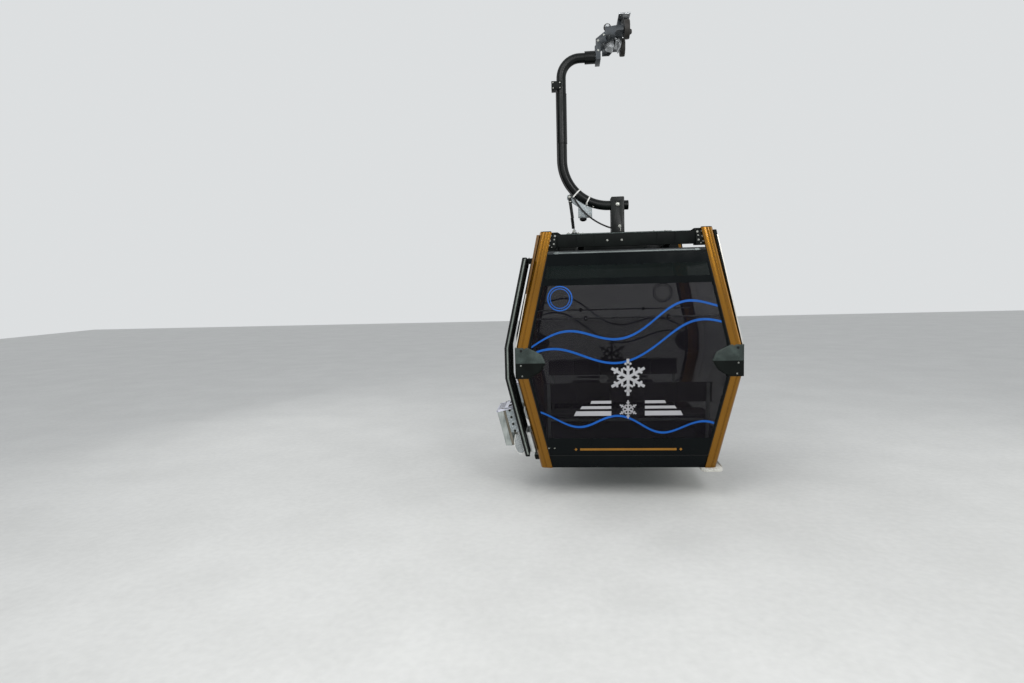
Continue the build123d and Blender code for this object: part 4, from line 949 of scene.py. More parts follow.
class CABIN_OT_decor(bpy.types.Operator):
    """Films on the end panes: waves, snow crystals, bars and a blank ring"""

    bl_idname = "cabin.decor"
    bl_label = "Decor"

    def execute(self, context):
        decor = context.scene.cabin_decor
        glazing = context.scene.cabin_glazing
        for end, _ in ENDS:
            self.waves(decor, glazing, end)
            self.ring(decor, end)
            self.bars(end)
            self.crystals(decor, end)
        return {"FINISHED"}

    def waves(self, decor, glazing, end):
        """Three long waves across the smoked part of a pane."""
        bm = bmesh.new()
        side = WALLS[end][1]
        for base, slope, swing, turns, phase in (
            (1.36, 0.20, 0.10, 1.5, 0.2),
            (1.16, 0.16, 0.13, 1.25, 1.0),
            (0.42, -0.06, 0.07, 2.0, 2.2),
        ):

            def place(u, v):
                height = base + slope * (2 * u - 1) + swing * sin(tau * turns * u + phase)
                return side * (1 - 2 * u), height + (v - 0.5) * decor.wave_width

            film(bm, place, decor.wave_steps)
        fold(bm, end, margin=POST_WIDTH + glazing.border)
        piece(f"wave_films_{end}", bm, "blue_film")

    def ring(self, decor, end):
        """Blank ring of two lines."""
        bm = bmesh.new()
        side = WALLS[end][1]
        for radius, width in ((1, 0.09), (0.8, 0.06)):

            def place(u, v):
                reach = decor.ring_radius * (radius - width * v)
                return side * (-decor.ring_across + reach * cos(tau * u)), decor.ring_height + reach * sin(tau * u)

            film(bm, place, 64)
        fold(bm, end)
        piece(f"ring_film_{end}", bm, "blue_film")

    def bars(self, end):
        """Plain gold bar with a dot at each end in the low band, and pale bars over it."""
        gold, pale = bmesh.new(), bmesh.new()
        long, foot, width = 0.93, 0.146, 0.022
        film(gold, lambda u, v: (long * u - long / 2, foot + width * v))
        middle, dot, dot_start = foot + width / 2, 0.03, 0.49
        pale_start, taper = 0.16, 0.06
        for side in (-1, 1):

            def dot_place(u, v):
                return side * (dot_start + dot * u), middle + dot * (0.5 - abs(u - 0.5)) * (2 * v - 1)

            film(gold, dot_place)
            for height, length, width in ((0.498, 0.36, 0.046), (0.566, 0.30, 0.028), (0.619, 0.2, 0.028)):

                def pale_place(u, v):
                    return side * (pale_start + length * u - taper * length * v * u), height + width * v

                film(pale, pale_place)
        fold(gold, end)
        fold(pale, end)
        piece(f"gold_bar_film_{end}", gold, "gold_film")
        piece(f"pale_bar_film_{end}", pale, "silver_film")

    def crystals(self, decor, end):
        """A large and a small snow crystal."""
        bm = bmesh.new()
        # Each arm and its twigs, as shares of the radius: where it starts, its angle, its length and half its width
        twigs = [(0, 0, 1, 0.075)]
        twigs += [(start, angle, length, 0.055) for start, length in ((0.36, 0.3), (0.66, 0.2)) for angle in (60, -60)]
        for middle, radius in ((0.875, decor.crystal_radius), (0.56, decor.crystal_radius * 0.5)):
            for arm in range(6):
                turn = radians(60 * arm + 30)
                # Neighbouring arms differ in thickness, so that no faces lie in one plane where they cross
                thickness = (0.5 + 0.1 * (arm % 3)) * MM
                for start, angle, length, half_width in twigs:
                    lean = turn + radians(angle)
                    x, height = radius * start * cos(turn), middle + radius * start * sin(turn)

                    def place(u, v):
                        along, aside = radius * length * u, radius * half_width * (2 * v - 1)
                        return x + along * cos(lean) - aside * sin(lean), height + along * sin(lean) + aside * cos(lean)

                    film(bm, place, 3, thickness)
        fold(bm, end)
        piece(f"crystal_films_{end}", bm, "silver_film")


class CABIN_OT_roof(bpy.types.Operator):
    """Roof skin with its crown, ribs and edge strip, and the ceiling with its lamps and air slots"""

    bl_idname = "cabin.roof"
    bl_label = "Roof"

    def execute(self, context):
        low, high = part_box("roof_shell")
        softened("roof_skin", "roof_shell", "roof_gelcoat", 6 * MM, 3)
        bm = bmesh.new()
        edge_x, edge_y, crown = high.x - 70 * MM, high.y - 150 * MM, 24 * MM
        corners = (-edge_x, -edge_y, high.z - 4 * MM), (edge_x, edge_y, high.z + 1 * MM)
        pad(bm, *corners, lambda u, v: crown * (1 - u**4) * (1 - v**4), steps=20)
        rib_x = edge_x * 0.94
        for y in (-0.42, -0.14, 0.14, 0.42):
            corners = (-rib_x, y - 12 * MM, high.z), (rib_x, y + 12 * MM, high.z + 27 * MM)
            pad(bm, *corners, lambda u, v: -22 * MM * u**4 - 3 * MM * v * v, steps=12)
        piece("roof_crown", bm, "roof_gelcoat")
        self.edge_strips(low.z)
        self.ceiling()
        return {"FINISHED"}

    def edge_strips(self, z):
        """Strips along the roof's edge, with a wider clip at each end of those over the end panes."""
        bm = bmesh.new()
        for end, _ in ENDS:
            margin = POST_WIDTH + 60 * MM
            strip(bm, end, (-1, -1 * MM, z + 8 * MM), (1, 8 * MM, z + 20 * MM), margin=margin, rounding=1 * MM)
            start, stop = POST_WIDTH + 70 * MM, POST_WIDTH + 110 * MM
            for corner in (-1, 1):
                strip(bm, end, (start, -3 * MM, z + 4 * MM), (stop, 8 * MM, z + 26 * MM), corner, rounding=2 * MM)
        for side, _ in SIDES:
            margin = POST_WIDTH + 6 * MM
            strip(bm, side, (-1, -1 * MM, z + 8 * MM), (1, 6 * MM, z + 22 * MM), margin=margin, rounding=1 * MM)
        piece("roof_edge_strips", bm, "gutter_aluminium")

    def ceiling(self):
        """Liner with two lamp strips, and at each side a row of black blocks that stand for air slots as painted shade.
        """
        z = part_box("ceiling")[0].z
        softened("ceiling_liner", "ceiling", "liner_laminate", 2 * MM)
        lamps, slots = bmesh.new(), bmesh.new()
        for x in (-0.3, 0.3):
            pad(lamps, (x - 35 * MM, -0.6, z - 14 * MM), (x + 35 * MM, 0.6, z), lambda u, v: 0, steps=2)
        round_edges(lamps, 6 * MM, 3)
        # Black blocks as painted shade of the air slots
        rows, pitch = 12, 90 * MM
        for side in (-1, 1):
            for row in range(rows):
                x, y = side * 0.62, (row - (rows - 1) / 2) * pitch
                cuboid(slots, (x - 40 * MM, y - 5 * MM, z - 1.5 * MM), (x + 40 * MM, y + 5 * MM, z + 1 * MM))
        piece("ceiling_lamps", lamps, "opal_diffuser")
        piece("ceiling_slot_shades", slots, "seal_rubber")


class CABIN_OT_frame(bpy.types.Operator):
    """Roof frame with its flanges, corner brackets, mast and their bolts"""

    bl_idname = "cabin.frame"
    bl_label = "Roof frame"

    def execute(self, context):
        fittings = context.scene.cabin_fittings
        softened("frame_beams", "roof_frame", "black_frame_coat", fittings.seam)
        softened("bracket_plates", "frame_brackets", "black_frame_coat", fittings.seam)
        softened("mast_plates", "mast", "black_tube_paint", 3 * MM)
        softened("mast_pin", "mast_bolt", "plated_steel", 2 * MM)
        self.flanges(fittings)
        self.bolts(fittings)
        self.brackets(fittings)
        return {"FINISHED"}

    def flanges(self, fittings):
        """Top and bottom flanges along the end beams, and stiffeners between them."""
        low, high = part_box("roof_frame")
        beam_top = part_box("frame_brackets")[1].z
        beam_low = beam_top - 125 * MM
        thick = 6 * MM
        bm = bmesh.new()
        for _, facing in ENDS:
            face, inner = facing * (high.y + fittings.flange), facing * (high.y - 60 * MM)
            near, far = min(face, inner), max(face, inner)
            # The upper flange takes the paler coat: dust, and a painted highlight on its top
            for z in (beam_low, beam_top - thick):
                for vert in cuboid(bm, (low.x + 60 * MM, near, z), (high.x - 60 * MM, far, z + thick)):
                    for one in vert.link_faces:
                        one.material_index = int(z > beam_low)
            near, far = sorted((facing * (high.y + fittings.flange - 2 * MM), inner))
            for x in (-0.47, -0.3, 0.3, 0.47):
                cuboid(bm, (x - 3 * MM, near, beam_low + 5 * MM), (x + 3 * MM, far, beam_top - 5 * MM))
        round_edges(bm, 1 * MM, 1)
        piece("beam_flanges", bm, ("black_frame_coat", "dust_and_highlight_flange_coat"))

    def bolts(self, fittings):
        """Bolts of the beams, the mast's foot and the channels."""
        beam_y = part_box("roof_frame")[1].y
        beam_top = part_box("frame_brackets")[1].z
        bm = bmesh.new()
        mast_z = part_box("mast")[0].z
        pairs, feet = (-0.436, -0.404, 0.404, 0.436), (-46 * MM, -14 * MM, 14 * MM, 46 * MM)
        size, top = fittings.bolt, (0, 0, 1)
        for _, facing in ENDS:
            end = (0, facing, 0)
            bolt_grid(bm, (-0.171, -0.034), (facing * beam_y,), (beam_top - 70 * MM,), end, size)
            bolt_grid(bm, pairs, (facing * (beam_y - 30 * MM),), (beam_top,), top, size)
            bolt_grid(bm, feet, (facing * 118 * MM,), (mast_z + 30 * MM, mast_z + 80 * MM), end, size)
            bolt_grid(bm, (-0.5, -0.38, 0.38, 0.5), (facing * 93 * MM,), (mast_z + 120 * MM,), top, size)
        piece("frame_bolts", bm, "plated_steel")

    def brackets(self, fittings):
        """Clusters of bolts and a small gusset at each corner bracket."""
        _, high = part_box("frame_brackets")
        top, reach = high.z, high.y
        bolts, gussets = bmesh.new(), bmesh.new()
        # On the end face: how far out from the bracket's inner edge, how far down, and the bolt's share of full size
        cluster = (
            (0.012, 0.016, 1), (0.052, 0.012, 0.8), (0.02, 0.05, 0.7), (0.062, 0.058, 1),
            (0.025, 0.092, 0.9), (0.07, 0.105, 0.8), (0.045, 0.122, 0.7),
        )
        for _, facing in ENDS:
            for side in (-1, 1):
                inner = side * 0.66
                for across, drop, size in cluster:
                    place = (inner + side * across, facing * (reach - 4 * MM), top - drop)
                    hex_bolt(bolts, place, (0, facing, 0), fittings.bolt * size)
                xs = [inner + side * across for across in (0.02, 0.07)]
                ys = [facing * (reach - back) for back in (0.03, 0.09)]
                bolt_grid(bolts, xs, ys, (top,), (0, 0, 1), fittings.bolt)
                y, start, stop, slope = facing * (reach - 0.02), inner - side * 0.045, inner + side * 0.05, side * 0.03
                corners = [(start, y, top), (stop, y, top), (stop, y, top + 0.02), (start + slope, y, top + 0.02)]
                prism(gussets, corners, (0, -facing * 8 * MM, 0))
                hex_bolt(bolts, (start + slope, y - facing * 0.03, top), (0, 0, 1), fittings.bolt * 1.2)
        round_edges(gussets, 1 * MM, 1)
        piece("bracket_bolts", bolts, "plated_steel")
        piece("bracket_gussets", gussets, "black_frame_coat")


class CABIN_OT_hanger(bpy.types.Operator):
    """Hanger tube, its damper, cable, cable box and ties"""

    bl_idname = "cabin.hanger"
    bl_label = "Hanger"

    def execute(self, context):
        softened("damper_plate", "damper_bracket", "hot_dip_zinc", 2 * MM)
        self.buffer()
        self.cable()
        softened("cable_box_shell", "cable_box", "grained_abs", 8 * MM, 3)
        self.box_lid(context.scene.cabin_fittings)
        self.collars()
        self.ties()
        self.damper()
        return {"FINISHED"}

    def box_lid(self, fittings):
        """Lid with its four screws."""
        low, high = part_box("cable_box")
        bm = bmesh.new()
        cuboid(bm, (low.x + 8 * MM, low.y - 3 * MM, low.z + 8 * MM), (high.x - 8 * MM, low.y + 3 * MM, high.z - 8 * MM))
        round_edges(bm, 3 * MM, 3)
        piece("cable_box_lid", bm, "grained_abs")
        bm = bmesh.new()
        for x in (low.x + 18 * MM, high.x - 18 * MM):
            for z in (low.z + 18 * MM, high.z - 18 * MM):
                bar(bm, (x, low.y - 4.5 * MM, z), (x, low.y - 1 * MM, z), fittings.screw)
        piece("cable_box_screws", bm, "plated_steel")

    def collars(self):
        """Weld beads round the tube, and the cap on its low end."""
        low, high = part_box("hanger_arm")
        bm = bmesh.new()
        inner, outer = 50 * MM, 56.5 * MM
        bead = [(-5 * MM, inner), (-4 * MM, 53 * MM), (0, outer), (4 * MM, outer), (5 * MM, inner), (-5 * MM, inner)]
        for height in (3.30, 3.82):
            turned(bm, bead, (low.x + TUBE_INSET, 0, up(height)), (0, 0, 1))
        cap = [(0, 0), (0, 46 * MM), (5 * MM, 44 * MM), (9 * MM, 38 * MM), (9 * MM, 0)]
        turned(bm, cap, (high.x - 9 * MM, 0, up(TUBE_LOW)), (1, 0, 0))
        piece("tube_beads", bm, "black_tube_paint")

    def ties(self):
        """White straps round the low bend, the first of them round the cable too."""
        centre = self.bend_centre()
        inner, over_cable, reach = 51 * MM, 74 * MM, radians(49)
        bm = bmesh.new()
        for angle, holds_cable in ((radians(225.6), True), (radians(242.4), False)):
            out, along = Vector((cos(angle), 0, sin(angle))), Vector((-sin(angle), 0, cos(angle)))
            middle = centre + out * BEND_RADIUS
            cable = out * 0.8 - Vector((0, 0.6, 0))
            for vert in collar(bm, middle - along * 7 * MM, along, 54 * MM, 2.5 * MM, 14 * MM):
                off = vert.co - middle
                off -= along * off.dot(along)
                turn = off.angle(cable)
                if holds_cable and turn < reach:
                    vert.co += off.normalized() * (min(over_cable, inner / cos(reach - turn)) - inner)
            tail = middle - out * 50 * MM + Vector((0, -16 * MM, 0))
            bar(bm, tail, tail - out * 22 * MM, 5 * MM, 8, 4 * MM)
        piece("cable_straps", bm, "white_nylon")

    def bend_centre(self):
        """Middle of the low bend's arc."""
        return Vector((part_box("hanger_arm")[0].x + TUBE_INSET + BEND_RADIUS, 0, up(TUBE_LOW) + BEND_RADIUS))

    def cable(self):
        """Cable down the outside of the tube and, slack, from the first strap to the mast's gland."""
        radius = 9 * MM
        centre = self.bend_centre() + Vector((0, -38 * MM, 0))
        low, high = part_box("hanger_cable")
        x = low.x + radius
        path = [(x, centre.y, high.z), (x, centre.y, (high.z + centre.z) / 2)]
        path += arc(centre, centre.x - x, 180, 225, 12)
        slack = [Vector((x, centre.y, up(height))) for x, height in ((-0.400, 2.555), (-0.240, 2.425), (-0.058, 2.370))]
        path += interpolate_bezier(Vector(path[-1]), *slack, 20)[1:]
        bm = bmesh.new()
        swept(bm, path, radius)
        piece("cable_run", bm, "cable_jacket", stands_for=("hanger_cable",), smooth=60)

    def buffer(self):
        """Pressed box plate under the low bend with its rubber buffer, and the nuts that clamp it to the tube."""
        bm = bmesh.new()
        left, right, foot, top, high_top = -0.424, -0.273, up(2.496), up(2.60), up(2.66)
        back, front, sheet = -12 * MM, 16 * MM, 4 * MM
        corners = [(left, back, foot), (right, back, foot), (right, back, top), (left, back, high_top)]
        prism(bm, corners, (0, 5 * MM, 0))
        for x in (left, right - sheet):
            cuboid(bm, (x, back, foot), (x + sheet, front, top))
        cuboid(bm, (left, back, foot), (right, front, foot + sheet))
        round_edges(bm, 1.5 * MM)
        piece("buffer_plate", bm, "hot_dip_zinc")
        bm = bmesh.new()
        drops = ((-2, 0), (-2, 34), (10, 40), (26, 36), (37, 20), (40, 0))
        turned(bm, [(drop * MM, radius * MM) for drop, radius in drops], (-0.37, 2 * MM, foot), (0, 0, -1))
        piece("rubber_buffer", bm, "seal_rubber", smooth=60)
        self.clamp_nuts(left, right, foot, back)

    def clamp_nuts(self, left, right, foot, back):
        """Nuts of the box plate and the cable's gland, and the clips on the channel."""
        bm = bmesh.new()
        centre = self.bend_centre()
        for angle in (radians(243.5), radians(251)):
            out = Vector((cos(angle), 0, sin(angle)))
            for y in (-34 * MM, 34 * MM):
                hex_bolt(bm, centre + out * (BEND_RADIUS + 36 * MM) + Vector((0, y, 0)), out, 9 * MM)
        edge, low, high = 20 * MM, foot + 24 * MM, foot + 78 * MM
        for x, z in ((left + edge, low), (right - edge, low), (right - edge, high)):
            hex_bolt(bm, (x, back, z), (0, -1, 0), 6 * MM)
        hex_bolt(bm, (20 * MM, -68 * MM, up(2.389)), (0, -1, 0), 11 * MM)
        bar(bm, (27 * MM, -73 * MM, up(2.335)), (27 * MM, -73 * MM, up(2.372)), 5 * MM)
        channel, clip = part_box("mast")[0].z + 120 * MM, 7 * MM
        for x in (-0.535, -0.43):
            cuboid(bm, (x - 16 * MM, -100 * MM, channel), (x + 16 * MM, -76 * MM, channel + clip))
            hex_bolt(bm, (x, -88 * MM, channel + clip), (0, 0, 1), 7 * MM)
        piece("clamp_nuts", bm, "plated_steel")

    def damper(self):
        """Gaiter, nuts and pins of the damper beside the hanger."""
        low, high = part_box("damper_barrel")
        foot_low, foot_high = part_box("damper_rod")
        top = Vector((low.x + 20 * MM, (low.y + high.y) / 2 - 6 * MM, high.z - 20 * MM))
        foot = Vector((foot_high.x - 27 * MM, top.y, foot_low.z + 20 * MM))
        axis = (foot - top).normalized()
        reach = (foot - top).length
        bm = bmesh.new()
        start, stop, folds = reach * 0.6, reach - 30 * MM, 12
        valley, crest, rod = 14 * MM, 19 * MM, 10 * MM
        profile = [(start, rod)]
        for step in range(folds * 2 + 1):
            profile.append((start + (stop - start) * step / (folds * 2), crest if step % 2 else valley))
        profile += [(stop, rod), (start, rod)]
        turned(bm, profile, top, axis, 32)
        piece("damper_gaiter", bm, "seal_rubber", smooth=60)
        bm = bmesh.new()
        for place in (top, foot):
            hex_bolt(bm, (place.x, low.y - 1 * MM, place.z), (0, -1, 0), 10 * MM)
        collar(bm, top + axis * 46 * MM, axis, 21 * MM, 4 * MM, 8 * MM, 32)
        piece("damper_nuts", bm, "plated_steel")


class CABIN_OT_grip(bpy.types.Operator):
    """Grip: running wheels, rollers, frame, fixed jaw, drive shoe and their bolts"""

    bl_idname = "cabin.grip"
    bl_label = "Grip"

    def execute(self, context):
        fittings = context.scene.cabin_fittings
        for node, body, radius in (
            ("running_wheel_front", "wheel_front", 95 * MM),
            ("running_wheel_rear", "wheel_rear", 95 * MM),
            ("guide_roller", "guide_roller", 45 * MM),
            ("lever_roller", "lever_roller", 40 * MM),
        ):
            self.wheel(node, body, radius, fittings)
        softened("grip_forging", "grip_frame", "cast_paint", 2.5 * MM, body="grip")
        softened("fixed_jaw_block", "fixed_jaw", "machined_steel", 1.5 * MM, body="grip")
        softened("drive_lining", "drive_shoe", "machined_steel", 3 * MM, body="grip")
        self.bolts(fittings)
        return {"FINISHED"}

    def wheel(self, node, body, radius, fittings):
        """Tyre with a crowned tread, and a dished hub."""
        low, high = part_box(node)
        middle = (low + high) / 2
        # A wheel is thinnest along its axle
        axis = min(range(3), key=lambda index: high[index] - low[index])
        along = Vector([1.0 if index == axis else 0.0 for index in range(3)])
        half, rim = (high[axis] - low[axis]) / 2, radius * 0.72
        crown = [(-half, rim), (-half, radius - 6 * MM), (-half + 3 * MM, radius - 2.5 * MM)]
        crown += [(-half * 0.5, radius - 0.5 * MM), (0, radius)]
        crown += [(-place, reach) for place, reach in reversed(crown[:-1])] + [crown[0]]
        bm = bmesh.new()
        turned(bm, crown, middle, along, 64)
        piece(node + "_tyre", bm, "tyre_polyurethane", body, smooth=30)
        bm = merged(node)
        for vert in bm.verts:
            off = vert.co - middle
            if off.cross(along).length > rim + 1 * MM:
                aside = off - along * off.dot(along)
                vert.co = middle + along * off.dot(along) * 0.9 + aside.normalized() * (rim + 0.5 * MM)
        round_edges(bm, 1.5 * MM)
        piece(node + "_hub", bm, "cast_paint", body, (node,))
        self.hub_bolts(node, body, radius, middle, axis, half, fittings)

    def hub_bolts(self, node, body, radius, middle, axis, half, fittings):
        """Bolts round a hub: on both faces of a roller, and on a running wheel's outer face, clear of the frame."""
        frame_low, frame_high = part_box("grip_frame")
        outwards = -1 if (frame_low + frame_high)[axis] / 2 > middle[axis] else 1
        sides, count = ((outwards,), 5) if radius > 60 * MM else ((-1, 1), 4)
        size = fittings.bolt * radius / (95 * MM) * 0.9
        bm = bmesh.new()
        for side in sides:
            normal = Vector([float(side) if index == axis else 0.0 for index in range(3)])
            for step in range(count):
                spoke = [cos(tau * step / count), sin(tau * step / count)]
                spoke.insert(axis, 0)
                hex_bolt(bm, middle + normal * (half - 3 * MM) + Vector(spoke) * radius * 0.52, normal, size)
        piece(node + "_bolts", bm, "plated_steel", body)

    def bolts(self, fittings):
        """Bolts of the side plates, and under the drive shoe's ends."""
        bm = bmesh.new()
        for facing in (-1, 1):
            for x, z in ((-0.19, 0.04), (-0.19, -0.06), (0.0, 0.085), (0.05, 0.085), (-0.13, 0.095)):
                hex_bolt(bm, (x, facing * 115 * MM, z), (0, facing, 0), fittings.bolt)
            for x in (0.035, 0.115):
                hex_bolt(bm, (x, facing * 0.225, 0.236), (0, 0, -1), fittings.bolt * 0.8)
        piece("grip_bolts", bm, "plated_steel", "grip")


class CABIN_OT_doors(bpy.types.Operator):
    """Door leaves with their edges and seals, and the rails and arms that carry them"""

    bl_idname = "cabin.doors"
    bl_label = "Doors"

    def execute(self, context):
        for end, _ in ENDS:
            self.stiles(end)
            self.edges(end)
        for name in ("upper", "lower"):
            softened(f"rail_{name}_extrusion", f"door_rail_{name}", "extruded_aluminium", 2 * MM)
        softened("door_arm_blocks", "door_arms", "black_frame_coat", 2 * MM)
        self.rails(context.scene.cabin_fittings)
        return {"FINISHED"}

    def stiles(self, end):
        """Frame of a leaf, whose inner edges are stepped back behind the seal."""
        bm = merged(f"leaf_frame_{end}")
        low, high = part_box(f"leaf_frame_{end}")
        edge_depth, step_back = 70 * MM, 12 * MM
        for vert in bm.verts:
            off = -vert.co.x - wall_reach(vert.co.z, 0, MM)
            if off < edge_depth and (abs(vert.co.y - low.y) < 2 * MM or abs(vert.co.y - high.y) < 2 * MM):
                vert.co.x -= step_back
        round_edges(bm, 4 * MM, 2, 35)
        piece(f"leaf_{end}_stiles", bm, "black_frame_coat", stands_for=(f"leaf_frame_{end}",))

    def edges(self, end):
        """Pale strip between the black seals of the leaf's edges, and the window's gasket."""
        low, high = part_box(f"leaf_frame_{end}")
        pale, black = bmesh.new(), bmesh.new()
        start, stop = LEAF_FACE + 19 * MM, LEAF_FACE + 37 * MM
        for y, way in ((low.y, -1), (high.y, 1)):
            near, far = sorted((y - way * 1 * MM, y + way * 1.2 * MM))
            strip(pale, "door", (near, start, low.z + 20 * MM), (far, stop, high.z - 12 * MM), bend=0)
            near, far = sorted((y - way * 3 * MM, y + way * 3.5 * MM))
            for face, width in ((LEAF_FACE, 21 * MM), (LEAF_BACK - 15 * MM, 9 * MM)):
                corners = (near, face, low.z + 4 * MM), (far, face + width, high.z - 2 * MM)
                strip(black, "door", *corners, bend=0, rounding=2 * MM)
        glass_low, glass_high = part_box(f"leaf_glass_{end}")
        half = 6 * MM
        uprights = [(y - half, y + half, glass_low.z - half, glass_high.z + half) for y in (glass_low.y, glass_high.y)]
        level = [(glass_low.y, glass_high.y, z - half, z + half) for z in (glass_low.z, glass_high.z)]
        for near, far, foot, top in uprights + level:
            for face in (LEAF_FACE, LEAF_BACK - 8 * MM):
                corners = (near, face - 1 * MM, foot), (far, face + 9 * MM, top)
                strip(black, "door", *corners, bend=0, rounding=2 * MM)
        piece(f"leaf_{end}_lines", pale, "edge_polyamide")
        piece(f"leaf_{end}_seals", black, "seal_rubber")

    def rails(self, fittings):
        """Black strips as painted shade of the running slots in the rails, their end caps, and the bolts of rails and
        arms.
        """
        slots, caps, bolts = bmesh.new(), bmesh.new(), bmesh.new()
        face, count = -42 * MM, 9
        for name in ("upper", "lower"):
            low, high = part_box(f"door_rail_{name}")
            # Black strip as painted shade of the rail's running slot
            middle = (low.z + high.z) / 2
            corners = (low.y + 8 * MM, face - 0.4 * MM, middle - 8 * MM), (high.y - 8 * MM, -40 * MM, middle + 8 * MM)
            strip(slots, "door", *corners, bend=0)
            for y, way in ((low.y, -1), (high.y, 1)):
                near, far = sorted((y, y + way * 5 * MM))
                corners = (near, face - 1 * MM, low.z - 1 * MM), (far, -2 * MM, high.z + 1 * MM)
                strip(caps, "door", *corners, bend=0, rounding=2 * MM)
            x = -(wall_reach(high.z, 0, MM) + 20 * MM)
            for step in range(count):
                y = low.y + (high.y - low.y) * (step + 0.5) / count
                hex_bolt(bolts, (x, y, high.z), (0, 0, 1), fittings.screw)
        # Two bolts on each arm, by where it starts along the wall and how high it stands
        first_arm = 0.53
        for facing in (-1, 1):
            for start, height in ((0.03, 2.012), (0.28, 2.012), (0.008, 0.062)):
                x = -(wall_reach(up(height), 0, MM) + 54 * MM)
                for aside in (18 * MM, 52 * MM):
                    place = (x, facing * (first_arm + start + aside), up(height) + 23 * MM)
                    hex_bolt(bolts, place, (0, 0, 1), fittings.screw * 1.2)
        piece("rail_slot_shades", slots, "seal_rubber")
        piece("rail_caps", caps, "grained_abs")
        piece("door_bolts", bolts, "plated_steel")


